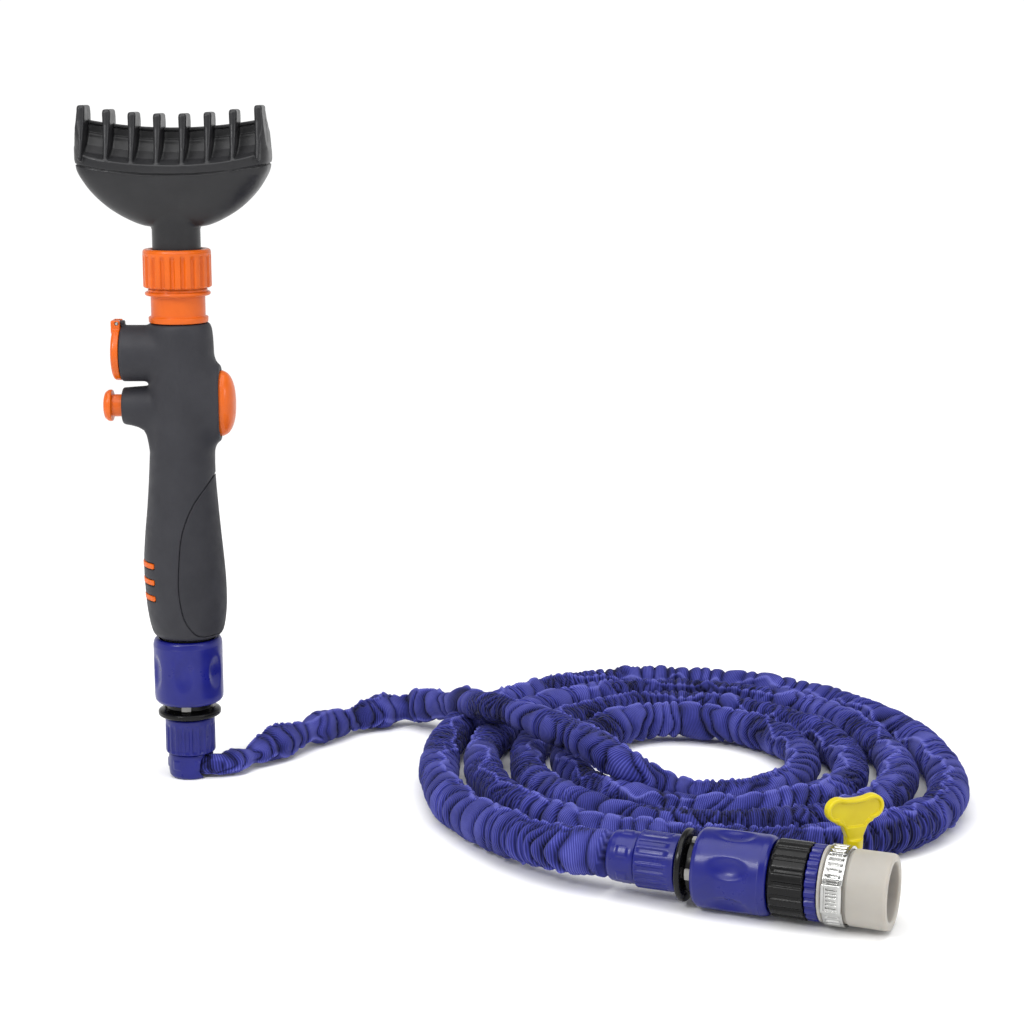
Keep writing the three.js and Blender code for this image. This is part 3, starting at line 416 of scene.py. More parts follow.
def grip_shell(x, y, z):
    """The grip's outside with its two ports, the button's seat and the hinge lug, and its plain sections."""
    skin = grip_form(x, y, z)
    body = meet_soft(meet_soft(skin, GRIP_BOTTOM - z, 3), z - GRIP_TOP, 1.5)
    body = join_soft(body, port_form(x, y, z, FILLER_Z, FILLER_R, FILLER_END), 2.6)
    sweep = meet_soft(outline_field(DOSER_SWEEP, x, z), np.abs(y) - 7.2, 5)
    doser = join_soft(port_form(x, y, z, DOSER_Z, DOSER_R + 0.08 * (x - DOSER_END), DOSER_END), sweep, 3)
    body = join_soft(body, doser, 1.6 + 2 * smoothstep(z, 192, 184))
    seat = oval_field(y, z - BUTTON_Z, BUTTON_HALF_Y + 2.0, BUTTON_HALF_Z + 1.5)
    rim = BUTTON_SEAT - 0.2 - 1.2 * ((z - BUTTON_Z) / BUTTON_HALF_Z) ** 2
    body = join_soft(body, meet_soft(np.maximum(seat, 6 - x), x - rim, 0.8), 8)
    hinge_x, hinge_z = CAP_HINGE
    lug = box_field(x, y, z, (hinge_x - 1.4, -2.6, hinge_z - 1.5), (-26.4, 2.6, hinge_z + 1.1), 0.7)
    return join_soft(body, lug, 0.8), skin


def grip_field(x, y, z):
    """The grip as a hollow shell, with the recesses for its panel and stripes and all its openings."""
    body, skin = grip_shell(x, y, z)
    seam = panel_form(x, z)
    recess = np.maximum(seam - 0.06, -(skin + PANEL_DEPTH + 0.2))
    seam_groove = np.maximum(seam - 0.3, -(skin + 0.5))
    body = meet_soft(body, -np.maximum(np.minimum(recess, seam_groove), skin - 1), 0.2)
    for height in STRIPE_HEIGHTS:
        body = np.maximum(body, -stripe_form(x, y, z, height, 1.3, 4, 1.6, STRIPE_ANGLE + 0.02))
    in_filler, in_doser = np.hypot(y, z - FILLER_Z), np.hypot(y, z - DOSER_Z)
    port_walls = np.minimum(
        np.maximum(in_filler - FILLER_R, x - FILLER_WALL_FROM),
        np.maximum(in_doser - DOSER_R, x - DOSER_WALL_FROM),
    )
    cavity = np.maximum(np.maximum(skin + GRIP_WALL, np.maximum(90.6 - z, z - 226)), -port_walls)
    holes = [
        np.maximum(np.hypot(x, y) - LOWER_BORE, z - 91),
        np.maximum(np.hypot(x, y) - UPPER_BORE, 225 - z),
        np.maximum(in_filler - FILLER_BORE, x - FILLER_BORE_FROM),
        np.maximum(in_doser - DOSER_BORE, x - DOSER_BORE_FROM),
        np.maximum(oval_field(y, z - BUTTON_Z, BUTTON_HALF_Y + 0.25, BUTTON_HALF_Z + 0.25), 9.5 - x),
    ]
    for hole in holes:
        body = meet_soft(body, -hole, 0.5)
    pin = np.hypot(x - CAP_HINGE[0], z - CAP_HINGE[1]) - HINGE_PIN_R
    return np.maximum(body, -np.minimum(cavity, pin))


def panel_field(x, y, z):
    skin = grip_form(x, y, z)
    return meet_soft(np.maximum(skin, -(skin + PANEL_DEPTH)), panel_form(x, z), 0.4)


def button_field(x, y, z):
    """The thumb button: a domed oval on a skirt, with a pocket for its spring."""
    side = oval_field(y, z - BUTTON_Z, BUTTON_HALF_Y, BUTTON_HALF_Z)
    skirt = np.maximum(side, np.maximum(BUTTON_SKIRT - x, x - BUTTON_SEAT - 0.6))
    depth = BUTTON_FRONT - BUTTON_SEAT
    flat = np.hypot(y / BUTTON_HALF_Y, (z - BUTTON_Z) / BUTTON_HALF_Z)
    rise = (np.abs((x - BUTTON_SEAT) / depth) ** 2.1 + flat**2.5) ** (1 / 2.3)
    dome = np.maximum((rise - 1) * 8, BUTTON_SEAT - x)
    pocket = np.maximum(np.hypot(y, z - BUTTON_Z) - SPRING_POCKET_R, x - SPRING_POCKET_END)
    return np.maximum(join_soft(skirt, dome, 0.6), -pocket)


def cap_field(x, y, z):
    """The filler's lid: a slim domed disc with a plug, a seal groove and a hinge tab."""
    face, away = FILLER_END - 0.3, np.hypot(y, z - FILLER_Z)
    dome = face - (4.9 - 1.3 * (away / CAP_R) ** 2) - x
    lid = np.maximum(meet_soft(away - CAP_R, dome, 1.6), x - face)
    plug = np.maximum(np.maximum(away - 11, 8.6 - away), np.maximum(face - 0.5 - x, x - FILLER_END - 2.6))
    hinge_x, hinge_z = CAP_HINGE
    tab = box_field(x, y, z, (hinge_x - 2.9, -5.3, 225), (hinge_x + 1.5, 5.3, hinge_z + 1.5), 0.6)
    slot = np.maximum(np.abs(y) - 2.9, np.maximum(hinge_x - 1.7 - x, 227.9 - z))
    tab = np.maximum(tab, -np.minimum(slot, np.maximum(face - x, z - 229.1)))
    lid = join_soft(np.minimum(lid, plug), tab, 0.7)
    groove = np.maximum(
        np.maximum(10 - away, away - 12), np.maximum(FILLER_END + 0.5 - x, x - FILLER_END - 1.9))
    pin = np.hypot(x - hinge_x, z - hinge_z) - HINGE_PIN_R
    return np.maximum(lid, -np.minimum(groove, pin))


def knob_field(x, y, z):
    """The dosing plunger: a stem with a seal groove under a mushroom head with a shallow dish."""
    away = np.hypot(y, z - DOSER_Z)
    spots, radii = zip(*KNOB_PROFILE[::-1])
    knob = meet_soft(away - np.interp(x, spots, radii), np.maximum(KNOB_FACE - x, x - KNOB_TIP), 0.5)
    return np.maximum(knob, 4.6 - np.sqrt((x - KNOB_FACE + 4) ** 2 + away**2 * 0.9))


def build_grip(slots):
    carved("grip_shell", grip_field, (-31.2, -20.4, 73), (21.6, 20.4, 231.4), 0.56, near_place,
           slots["grip_plastic"], "handle", ["grip_body"])
    carved("palm_panel", panel_field, (-1, -20.4, 75), (20.5, 20.4, 159), 0.6, near_place,
           slots["grip_panel"], "handle", ["grip_panel"])
    for k, height in enumerate(STRIPE_HEIGHTS):
        def stripe(x, y, z, height=height):
            return stripe_form(x, y, z, height, 0.9, 0.25, 1.3, STRIPE_ANGLE)
        carved(f"stripe_{k + 1}", stripe, (-21, -16, height - 1.5), (-12, 16, height + 1.5), 0.3,
               near_place, slots["orange_inlay"], "handle", [f"grip_stripe_{k + 1}"])
    orange = slots["orange_plastic"]
    carved("oval_button", button_field, (14, -12, 172.5), (28, 12, 208), 0.45, near_place, orange,
           "button", ["thumb_button"])
    carved("soap_cap", cap_field, (-33.4, -13.4, 201.5), (-25, 13.4, 231.8), 0.4, near_place, orange,
           "filler_lid", ["filler_cap"])
    carved("soap_plunger", knob_field, (-37.6, -8, 181.2), (-13.4, 8, 197.2), 0.35, near_place, orange,
           "doser", ["dosing_knob"])


# ---------------------------------------------------------------- neck and head


def union_shape(r, angle, z):
    """Wide ribs that run out under the nut's round shoulder."""
    fade = 1 - smoothstep(z, UNION_TOP - 4.2, UNION_TOP - 2.6)
    return r - np.where(r > 15.2, 1.3 * (1 - ribs(angle, UNION_RIBS, 0.6)) * fade, 0)


BOWL_CURVE = smooth_curve(BOWL_SECTIONS, 0.3)[0]


def arch(x):
    """How far the plate and its seam rise towards the head's ends."""
    return ARCH_RISE * (x / ARCH_HALF) ** 2


def bowl_form(x, y, z):
    """Distance from the head's oval sections, which grow squarer upwards."""
    half_x = np.interp(z, BOWL_CURVE[:, 0], BOWL_CURVE[:, 1])
    half_y = np.interp(z, BOWL_CURVE[:, 0], BOWL_CURVE[:, 2])
    power = 2 + 2.2 * np.clip((z - 277) / 25, 0, 1)
    ratio = (np.abs(x / half_x) ** power + np.abs(y / half_y) ** power) ** (1 / power)
    away = np.hypot(x, y)
    side = away * (1 - 1 / np.maximum(ratio, 1e-3))
    steep = np.interp(z, [276, 280, 290, 303], [0.35, 0.5, 0.75, 1])
    return np.maximum(np.where(away < 1, away - 8, side) * steep, BOWL_SECTIONS[0][0] - z)


def plate_top(x, y):
    """The height of the plate between the fins."""
    return RIM_Z + arch(x) + np.interp(y, *zip(*PLATE_PROFILE))


def head_field(x, y, z):
    """The bowl, the arched plate with its comb of fins, and the neck, with the seam all round."""
    side = bowl_form(x, y, z)
    slope = np.interp(y, *zip(*PLATE_STEEPNESS))
    lean = np.abs(x) - np.interp(z - RIM_Z - arch(x), [0, 24], [46.5, 43.6])
    shell = meet_soft(np.maximum(side, lean), (z - plate_top(x, y)) * slope, 0.9)
    bead = np.hypot(y + 0.7, z - RIM_Z - arch(x) - 16.6) - 0.95
    shell = join_soft(shell, np.maximum(bead, np.abs(x) - 43.5), 0.3)
    nearest = np.clip(np.round(x / FIN_PITCH + 3.5), 0, FINS - 1)
    fin_x = (nearest - 3.5) * FIN_PITCH
    above = z - RIM_Z - arch(fin_x)
    half = np.interp(above, [0, 24], [1.15, 2.0])
    profile = outline_field(FIN_SIDE, y, above)
    fin = meet_soft(np.abs(x - fin_x) - half, profile, 1.7)
    end_wall = np.maximum(np.abs(x) - np.interp(above, [0, 24], [46.4, 43.8]), 42 - np.abs(x))
    fin = np.minimum(fin, meet_soft(np.maximum(end_wall, side), profile, 1.5))
    shell = join_soft(shell, fin, 0.9)
    neck = np.hypot(x, y) - np.where(z < 262.5, 14, HEAD_NECK_R)
    neck = meet_soft(np.maximum(neck, z - 284), HEAD_NECK_BOTTOM - z, 0.4)
    whole = join_soft(shell, neck, 1.4)
    groove = np.maximum(np.abs(z - SEAM_Z - arch(x)) - 0.36, -(side + 0.9))
    under = np.minimum(plate_top(x, y), plate_top(x, y - 3.2))
    hollow = np.maximum(np.maximum(side + BOWL_WALL, z - under + PLATE_WALL), 281 - z)
    jet_x = (np.clip(np.round(x / FIN_PITCH + 3), 0, FINS - 2) - 3) * FIN_PITCH
    jet = np.maximum(np.hypot(x - jet_x, z - RIM_Z - arch(jet_x) - JET_RISE) - JET_R, np.abs(y - 6.5) - 5.5)
    bore = np.maximum(np.hypot(x, y) - HEAD_BORE, z - 284)
    cut = np.minimum(np.minimum(groove, jet), np.minimum(hollow, bore))
    return meet_soft(whole, -cut, 0.3)


def build_head(slots):
    orange = slots["orange_plastic"]
    turned("neck_collar", NECK_PROFILE, near_place, orange, "handle", ["neck_adapter"],
           around=128, corner=0.35)
    profile = [(14.5, UNION_BOTTOM), (UNION_R, UNION_BOTTOM), (UNION_R, UNION_TOP), (12.8, UNION_TOP),
               (12.8, 262.9), (14.5, 262.9)]
    turned("ribbed_union", profile, near_place, orange, "union", ["union_nut"], around=360,
           corner=1.7, reshape=union_shape, spacing=0.6)
    carved("comb_head", head_field, (-46.6, -20.2, 257.4), (46.6, 20.2, 335), 0.56, near_place,
           slots["head_plastic"], "head", ["head_bowl", "head_comb_plate"])


# ---------------------------------------------------------------- couplers


def route_field(route, x, y, z):
    """Distance to a line through points."""
    best = np.full(np.shape(x), 1e9)
    for a, b in zip(route, route[1:]):
        d = np.array(b, float) - np.array(a, float)
        gaps = (x - a[0], y - a[1], z - a[2])
        t = np.clip((gaps[0] * d[0] + gaps[1] * d[1] + gaps[2] * d[2]) / (d @ d), 0, 1)
        best = np.minimum(best, sum((gap - t * step) ** 2 for gap, step in zip(gaps, d)))
    return np.sqrt(best)


def ferrule_field(notched):
    """The hose's short ferrule with six raised pads; notched, the hose leaves through its side."""
    def field(x, y, z):
        away = np.hypot(x, y)
        wall = away - np.interp(z, [0, 1.6, 4, 11.2, 12.8], [9.9, 10.9, FERRULE_R, FERRULE_R, 10.9])
        shell = meet_soft(wall, np.maximum(-z, z - FERRULE_TOP), 0.8)
        fold = (np.arctan2(y, x) + TAU / 12) % (TAU / 6) - TAU / 12
        pad = meet_soft(np.maximum(np.abs(fold) * FERRULE_R - 2.4, np.abs(z - 7.4) - 2.3), wall - 0.45, 0.7)
        shell = np.maximum(join_soft(shell, pad, 0.5), 7.9 - away)
        return meet_soft(shell, 6.9 - route_field(START_ROUTE, x, y, z), 0.6) if notched else shell
    return field


def hose_nut_shape(r, angle, z):
    """Narrow raised ribs below a smooth band."""
    fade = smoothstep(z, 13.6, 14.6) * (1 - smoothstep(z, 26.4, 27.4))
    return r - np.where(r > 11, 0.75 * fade * (1 - ribs(angle, 20, 0.42, 0.16)), 0)


def collar_shape(first):
    """Six oval finger dimples round the collar, one of them at this angle."""
    def shape(r, angle, z):
        turn = (angle - first + TAU / DIMPLES / 2) % (TAU / DIMPLES) - TAU / DIMPLES / 2
        away = np.hypot(turn * COLLAR_R / DIMPLE_HALF_WIDTH, (z - DIMPLE_Z) / DIMPLE_HALF_LENGTH)
        depth = DIMPLE_DEPTH * (1 - away**2.8)
        return r - np.where(r > 16, (depth + np.sqrt(depth**2 + DIMPLE_SOFTNESS)) / 2, 0)
    return shape


def nipple_profile(thread, top):
    """A click-in nipple with its seal groove and stop flange, under a thread of that radius."""
    return [
        (4.2, 47), (7.9, 47), (7.9, 50.5), (6.6, 50.5), (6.6, 53.1), (7.9, 53.1), (7.9, 67), (9.6, 67),
        (9.6, 69.4), (13.2, 69.4), (13.2, 72.6), (thread, 72.6), (thread, top), (4.2, top),
    ]


def build_coupler(prefix, place, slots, collar_body, notched, dimple):
    """The quick coupler's shown pieces at one end of the hose."""
    blue, black = slots["blue_plastic"], slots["black_plastic"]
    nut = [(7.9, 13.1), (NUT_R, 13.1), (NUT_R, NUT_TOP), (8.9, NUT_TOP), (8.9, 17.5), (7.9, 17.5)]
    return [
        carved(f"{prefix}_ferrule_shell", ferrule_field(notched), (-11.8, -11.8, 0),
               (11.8, 11.8, FERRULE_TOP), 0.4, place, blue, "hose", [f"{prefix}_hose_ferrule"]),
        turned(f"{prefix}_ribbed_nut", nut, place, blue, "hose", [f"{prefix}_hose_nut"],
               around=320, corner=0.6, reshape=hose_nut_shape, spacing=0.6),
        turned(f"{prefix}_flanged_core", CORE_PROFILE, place, black, "hose", [f"{prefix}_coupler_core"],
               around=96, corner=0.6),
        turned(f"{prefix}_dimpled_collar", COLLAR_PROFILE, place, blue, collar_body,
               [f"{prefix}_release_collar"], around=360, corner=0.5,
               reshape=collar_shape(dimple), spacing=0.5),
    ]


# ---------------------------------------------------------------- tap adapter


def adapter_nut_shape(r, angle, z):
    """Eighteen wide ribs up to the nut's chamfer."""
    fade = smoothstep(z, 73.4, 74.6)
    return r - np.where(r > 15, 1.0 * fade * (1 - ribs(angle, 18, 0.64, 0.12)), 0)


def ring_shape(r, angle, z):
    """The scallops round the barb's flange."""
    return r - np.where((r > 14) & (z > 88), 1.0 * (1 - ribs(angle, 22, 0.6, 0.25)), 0)


def band_shape(r, angle, z):
    """Rows of slots parallel to the hose, pressed into the steel."""
    turn = np.abs((angle * BAND_SLOTS / TAU) % 1 - 0.5) * TAU * BAND_R / BAND_SLOTS
    length = np.abs(z - BAND_MIDDLE)
    slot = (1 - smoothstep(turn, 0.5, 0.72)) * (1 - smoothstep(length, 2.7, 3.0))
    return r - np.where(r > 16.5, 1.1 * slot, 0)


def bridge_field(x, y, z):
    """The plate over the band's overlap, with a slotted window."""
    plate = box_field(x, y, z, (-6.2, 16.0, BAND_BOTTOM - 0.1), (6.2, 18.0, BAND_TOP + 0.1), 0.5)
    window = box_field(x, y, z, (-5.2, 17.2, BAND_BOTTOM + 1.3), (5.2, 19, BAND_TOP - 1.3), 0.2)
    across = (x + 20.8) % 1.6 - 0.8
    slot = box_field(across, y, z, (-0.4, 16.5, BAND_BOTTOM + 2), (0.4, 19, BAND_TOP - 2), 0.1)
    return np.maximum(plate, -np.minimum(window, np.maximum(slot, np.abs(x) - 4.8)))


def housing_field(x, y, z):
    """The worm's housing: a saddle over a round barrel along the screw."""
    barrel = np.hypot(y - SCREW_Y, z - BAND_MIDDLE) - 4.3
    base = box_field(x, y, z, (-3, -20, BAND_BOTTOM), (8.9, -17.3, BAND_TOP), 0.5)
    shell = join_soft(np.maximum(barrel, np.abs(x - 2.95) - 5.95), base, 0.8)
    notch = np.maximum(np.abs((x + 0.2) % 2.2 - 1.1) - 0.35, y + 23.4)
    shell = np.maximum(shell, -np.maximum(notch, np.abs(x - 2.9) - 4.2))
    return np.maximum(shell, 3.3 - np.hypot(y - SCREW_Y, z - BAND_MIDDLE))


def key_field(u, w, v):
    """The butterfly key: a flared stem under two round lobes, with a recessed face on each side."""
    lobe_x, lobe_z, lobe_r = KEY_LOBE
    side = np.abs(u)
    lobes = np.hypot(side - lobe_x, v - lobe_z) - lobe_r
    bridge = np.maximum(side - lobe_x, np.abs(v - 26.4) - 5.6 + 0.5 * smoothstep(8 - side, 0, 8))
    flare = np.interp(v, [9, 15, 19, 24], [3.6, 3.9, 5.6, 8.6])
    stem = np.maximum(side - flare, np.maximum(KEY_BOTTOM - v, v - 26))
    flat = join_soft(join_soft(lobes, bridge, 1.2), stem, 2.0)
    recess = np.maximum(flat + 1.7, 0.95 - np.abs(w))
    plate = meet_soft(flat, np.abs(w) - 2.1, 1.0)
    collar = np.maximum(np.hypot(side, w) - 3.6, np.maximum(KEY_BOTTOM - v, v - 13.5))
    return meet_soft(join_soft(plate, collar, 1.0), -np.maximum(recess, 19.5 - v), 0.5)


def key_place(points):
    """The key stands on its screw, turned part of the way round it."""
    u, w, v = np.asarray(points, float).T
    c, s = math.cos(KEY_TURN), math.sin(KEY_TURN)
    return far_place(np.stack([v, SCREW_Y - u * s + w * c, BAND_MIDDLE + u * c + w * s], axis=1))


def build_adapter(slots):
    black, blue, steel = slots["black_plastic"], slots["blue_plastic"], slots["steel"]
    body = "tap_adapter"
    band = [(15.7, BAND_BOTTOM), (BAND_R, BAND_BOTTOM), (BAND_R, BAND_TOP), (15.7, BAND_TOP)]
    return [
        turned("tap_nipple", nipple_profile(9.4, 74.4), far_place, black, body, ["adapter_nipple"],
               around=96, corner=0.4),
        turned("ribbed_lock_nut", ADAPTER_NUT_PROFILE, far_place, black, "adapter_lock_nut", ["adapter_nut"],
               around=324, corner=0.7, reshape=adapter_nut_shape, spacing=0.8),
        turned("scalloped_ring", BARB_PROFILE, far_place, blue, body, ["adapter_barb"],
               around=264, corner=0.5, reshape=ring_shape, spacing=1.2),
        turned("tap_sleeve", SLEEVE_PROFILE, far_place, slots["silicone"], body, ["silicone_sleeve"],
               around=128, corner=0.7, spacing=1.5),
        turned("slotted_band", band, far_place, steel, body, ["clamp_band"], around=480, corner=0.3,
               reshape=band_shape, spacing=0.3),
        carved("band_bridge", bridge_field, (-6.3, 15.9, 95.9), (6.3, 18.2, 104.9), 0.22, far_place, steel,
               body),
        carved("worm_housing", housing_field, (-3.1, -25.4, 95.9), (9, -17.2, 104.9), 0.3, far_place, steel,
               body, ["clamp_housing"]),
        carved("butterfly_key", key_field, (-13.8, -3.8, 9.4), (13.8, 3.8, 32.7), 0.35, key_place,
               slots["yellow_plastic"], "key", ["clamp_key"]),
    ]


# ---------------------------------------------------------------- the hose


def wrap_noise(s, angle, cell, around, seed):
    """Smooth noise from -1 to 1 along the hose that closes round it."""
    table = np.random.default_rng(seed).uniform(-1, 1, (int(s.max() / cell) + 3, around))
    u, v = (s - s.min()) / cell, (angle / TAU % 1) * around
    i, j = np.floor(u).astype(int), np.floor(v).astype(int) % around
    a, b = smoothstep(u - np.floor(u)), smoothstep(v - np.floor(v))
    i = np.clip(i, 0, len(table) - 2)
    k = (j + 1) % around
    here, beside = (table[i, m] * (1 - a) + table[i + 1, m] * a for m in (j, k))
    return here * (1 - b) + beside * b


def pleats(s, narrow, wide, seed):
    """The gathered fabric's height: 0 in a crease, 1 on the crest just past it, falling to the next."""
    rng = np.random.default_rng(seed)
    gaps = rng.uniform(narrow, wide, int((s.max() - s.min()) / narrow) + 8)
    creases = s.min() - 2 * wide + np.cumsum(gaps)
    i = np.clip(np.searchsorted(creases, s) - 1, 0, len(gaps) - 2)
    past, left = s - creases[i], creases[i + 1] - s
    depth = rng.uniform(0.45, 1.0, len(gaps))[i]
    steep, fall = rng.uniform(0.7, 1.6, len(gaps))[i], rng.uniform(0.1, 0.5, len(gaps))[i]
    rise = 1 - np.exp(-past / steep)
    drop = 1 - np.exp(-left / 0.8)
    return 1 - depth * (1 - rise * drop * (1 - fall * (past / (past + left)) ** 1.5))


def selvedge(s, angle, side, seed):
    """How near a point is to the ruffled edge that meanders along the sleeve, 0 to 1."""
    still = np.zeros_like(angle)
    line = side + 0.8 * wrap_noise(s, still, 120, 1, seed) + 0.45 * wrap_noise(s, still, 24, 1, seed + 1)
    line = line + 0.4 * wrap_noise(s, still, 7.5, 1, seed + 2)
    away = (angle - line + math.pi) % TAU - math.pi
    return np.exp(-((away / 0.11) ** 2))


def hose_surface(path, along):
    """Rings of points round the path, in mm, with each point's fabric coordinate, fold height and edge; the
    height and edge also set the fabric's painted shade and painted highlights.
    """
    angle = np.arange(HOSE_AROUND) * TAU / HOSE_AROUND
    s, turn = np.meshgrid(along, angle, indexing="ij")
    ends = smoothstep(np.minimum(along, along[-1] - along), 0, 26)[:, None]
    drift = 6.5 * ends * wrap_noise(s, turn, 22, 3, 11) + 3.0 * wrap_noise(s, turn, 9, 6, 12)
    broad = pleats(s + drift, 4.5, 12, 13)
    tight = 5 * wrap_noise(s, turn, 17, 4, 14) + 1.8 * wrap_noise(s, turn, 6, 9, 15)
    close = pleats(s + tight, 2.4, 5.2, 16)
    crumple = smoothstep(wrap_noise(s, turn, 30, 3, 17), -0.15, 0.3)
    height = np.minimum(broad, 1 - crumple * (1 - close))
    edge = np.maximum(selvedge(s, turn, 1.9, 31), 0.9 * selvedge(s, turn, 4.9, 41))
    outer = np.interp(along, *zip(*HOSE_RADII))[:, None]
    lumps = wrap_noise(s, turn * 0, 11, 1, 21) * (1 - 0.8 * smoothstep(s, 130, 300)) * 2.3
    depth = np.interp(outer, [5, 8, 10.4], [1.5, 2.9, 4.2]) * (0.3 + 0.7 * ends)
    radius = outer + ends * (0.8 * wrap_noise(s, turn, 26, 3, 19) + lumps) - depth * (1 - height)
    radius = radius + ends * edge * 1.2
    tangent = np.gradient(path, axis=0)
    tangent /= np.linalg.norm(tangent, axis=1)[:, None]
    side = np.cross(tangent, [0, 0, 1])
    side /= np.linalg.norm(side, axis=1)[:, None]
    up = np.cross(side, tangent)
    lean = ends * 1.5 * height * wrap_noise(s, turn, 22, 3, 20)
    points = path[:, None] + radius[..., None] * (
        np.cos(turn)[..., None] * side[:, None] + np.sin(turn)[..., None] * up[:, None]
    ) + lean[..., None] * tangent[:, None]
    low = points[..., 2]
    squashed = HOSE_FLOOR + (2 - HOSE_FLOOR) * np.exp((low - 2) / (2 - HOSE_FLOOR))
    points[..., 2] = np.where(low < 2, squashed, low)
    return points, np.stack([s + 5 * wrap_noise(s, turn, 40, 3, 23), height, edge], axis=-1)


def build_hose(material):
    route = START_ROUTE + LEAD_ROUTE + DIVE_ROUTE + coil_route() + TAIL_ROUTE
    path, along = smooth_curve(route, HOSE_RING)
    points, sleeve = hose_surface(path, along)
    hose = add_mesh("fabric_hose", points.reshape(-1, 3), capped_faces(len(path), HOSE_AROUND), material,
                    "hose", ["hose_start", "hose_lead", "hose_coil", "hose_tail"])
    store = hose.data.attributes.new("sleeve", "FLOAT_VECTOR", "POINT")
    store.data.foreach_set("vector", sleeve.astype(np.float32).ravel())
    return hose, path


# ---------------------------------------------------------------- materials


def linear(colour):
    return (*[(c / 255 + 0.055) ** 2.4 / 1.055**2.4 if c > 10 else c / 255 / 12.92 for c in colour], 1)


def new_material(name, **sockets):
    """A Principled material; sockets are its uniform values."""
    material = bpy.data.materials.new(name)
    material.use_nodes = True
    shader = material.node_tree.nodes["Principled BSDF"]
    for socket, value in sockets.items():
        shader.inputs[socket.replace("_", " ").title().replace("Ior", "IOR")].default_value = value
    return material, material.node_tree, shader


def noise(tree, scale, detail):
    """Noise from 0 to 1 fixed to the object's own coordinates."""
    place = tree.nodes.new("ShaderNodeTexCoord")
    texture = tree.nodes.new("ShaderNodeTexNoise")
    texture.inputs["Scale"].default_value = scale
    texture.inputs["Detail"].default_value = detail
    tree.links.new(place.outputs["Object"], texture.inputs["Vector"])
    return texture.outputs["Fac"]


def ramp(tree, factor, stops):
    """Colours along a factor; stops are (position, colour)."""
    node = tree.nodes.new("ShaderNodeValToRGB")
    for k, (position, colour) in enumerate(stops):
        stop = node.color_ramp.elements[k] if k < 2 else node.color_ramp.elements.new(position)
        stop.position, stop.color = position, linear(colour)
    tree.links.new(factor, node.inputs["Fac"])
    return node.outputs["Color"]


def spread(tree, factor, low, high, start=0.3, end=0.7):
    node = tree.nodes.new("ShaderNodeMapRange")
    for socket, value in (("From Min", start), ("From Max", end), ("To Min", low), ("To Max", high)):
        node.inputs[socket].default_value = value
    tree.links.new(factor, node.inputs["Value"])
    return node.outputs["Result"]


def bump(tree, shader, height, distance, strength=1.0):
    node = tree.nodes.new("ShaderNodeBump")
    node.inputs["Distance"].default_value = distance
    node.inputs["Strength"].default_value = strength
    tree.links.new(height, node.inputs["Height"])
    tree.links.new(node.outputs["Normal"], shader.inputs["Normal"])


def moulded(name, colour, shade, rough, grain, depth, **sockets):
    """A moulded or metal finish: slightly uneven colour and gloss, and a fine grain."""
    material, tree, shader = new_material(name, **sockets)
    patches = ramp(tree, noise(tree, 60, 4), [(0.35, shade), (0.65, colour)])
    tree.links.new(patches, shader.inputs["Base Color"])
    tree.links.new(spread(tree, noise(tree, 180, 5), *rough), shader.inputs["Roughness"])
    bump(tree, shader, noise(tree, grain, 3), depth)
    return material


def maths(tree, operation, *values):
    node = tree.nodes.new("ShaderNodeMath")
    node.operation = operation
    for socket, value in zip(node.inputs, values):
        if isinstance(value, (int, float)):
            socket.default_value = value
        else:
            tree.links.new(value, socket)
    return node.outputs["Value"]


def fabric(name):
    """Ribbed knit: fine ribs across the sleeve, with painted shade in its creases and in the ribs' grooves,
    and painted highlights on its crests and along its edge.
    """
    material, tree, shader = new_material(
        name, roughness=0.88, specular_ior_level=0.12, sheen_weight=0.06, sheen_roughness=0.4)
    sleeve = tree.nodes.new("ShaderNodeAttribute")
    sleeve.attribute_name = "sleeve"
    split = tree.nodes.new("ShaderNodeSeparateXYZ")
    tree.links.new(sleeve.outputs["Vector"], split.inputs["Vector"])
    wave = maths(tree, "SINE", maths(tree, "MULTIPLY", split.outputs["X"], TAU / KNIT_RIB))
    # painted light: fold height, rib phase and the ruffled edge set the colour, giving painted shade in
    # creases and rib grooves and painted highlights on crests and the edge; the noise adds random tone
    rib = maths(tree, "MULTIPLY_ADD", wave, 0.5, 0.5)
    painted_light_and_tone = maths(tree, "ADD", split.outputs["Y"], maths(tree, "MULTIPLY", rib, 0.34))
    painted_light_and_tone = maths(tree, "ADD", painted_light_and_tone, maths(tree, "MULTIPLY", split.outputs["Z"], 0.5))
    painted_light_and_tone = maths(tree, "ADD", painted_light_and_tone, spread(tree, noise(tree, 60, 3), -0.14, 0.14))
    colour = ramp(tree, maths(tree, "MULTIPLY", painted_light_and_tone, 0.7), [
        (0.3, (10, 10, 38)), (0.56, (37, 40, 100)), (0.78, (60, 63, 146)), (1.0, (98, 101, 184)),
    ])
    tree.links.new(colour, shader.inputs["Base Color"])
    thread = maths(tree, "MULTIPLY", noise(tree, 2600, 2), 0.35)
    bump(tree, shader, maths(tree, "ADD", rib, thread), 0.0004, 0.9)
    return material


def translucent(name):
    """Milky silicone with a faint cloudiness."""
    material, tree, shader = new_material(
        name, subsurface_weight=0.55, subsurface_radius=(0.006, 0.005, 0.004), subsurface_scale=1.0, ior=1.42,
        specular_ior_level=0.4)
    cloud = ramp(tree, noise(tree, 40, 4), [(0.3, (158, 154, 147)), (0.7, (168, 164, 157))])
    tree.links.new(cloud, shader.inputs["Base Color"])
    tree.links.new(spread(tree, noise(tree, 120, 4), 0.42, 0.56), shader.inputs["Roughness"])
    bump(tree, shader, noise(tree, 900, 2), 0.00003)
    return material


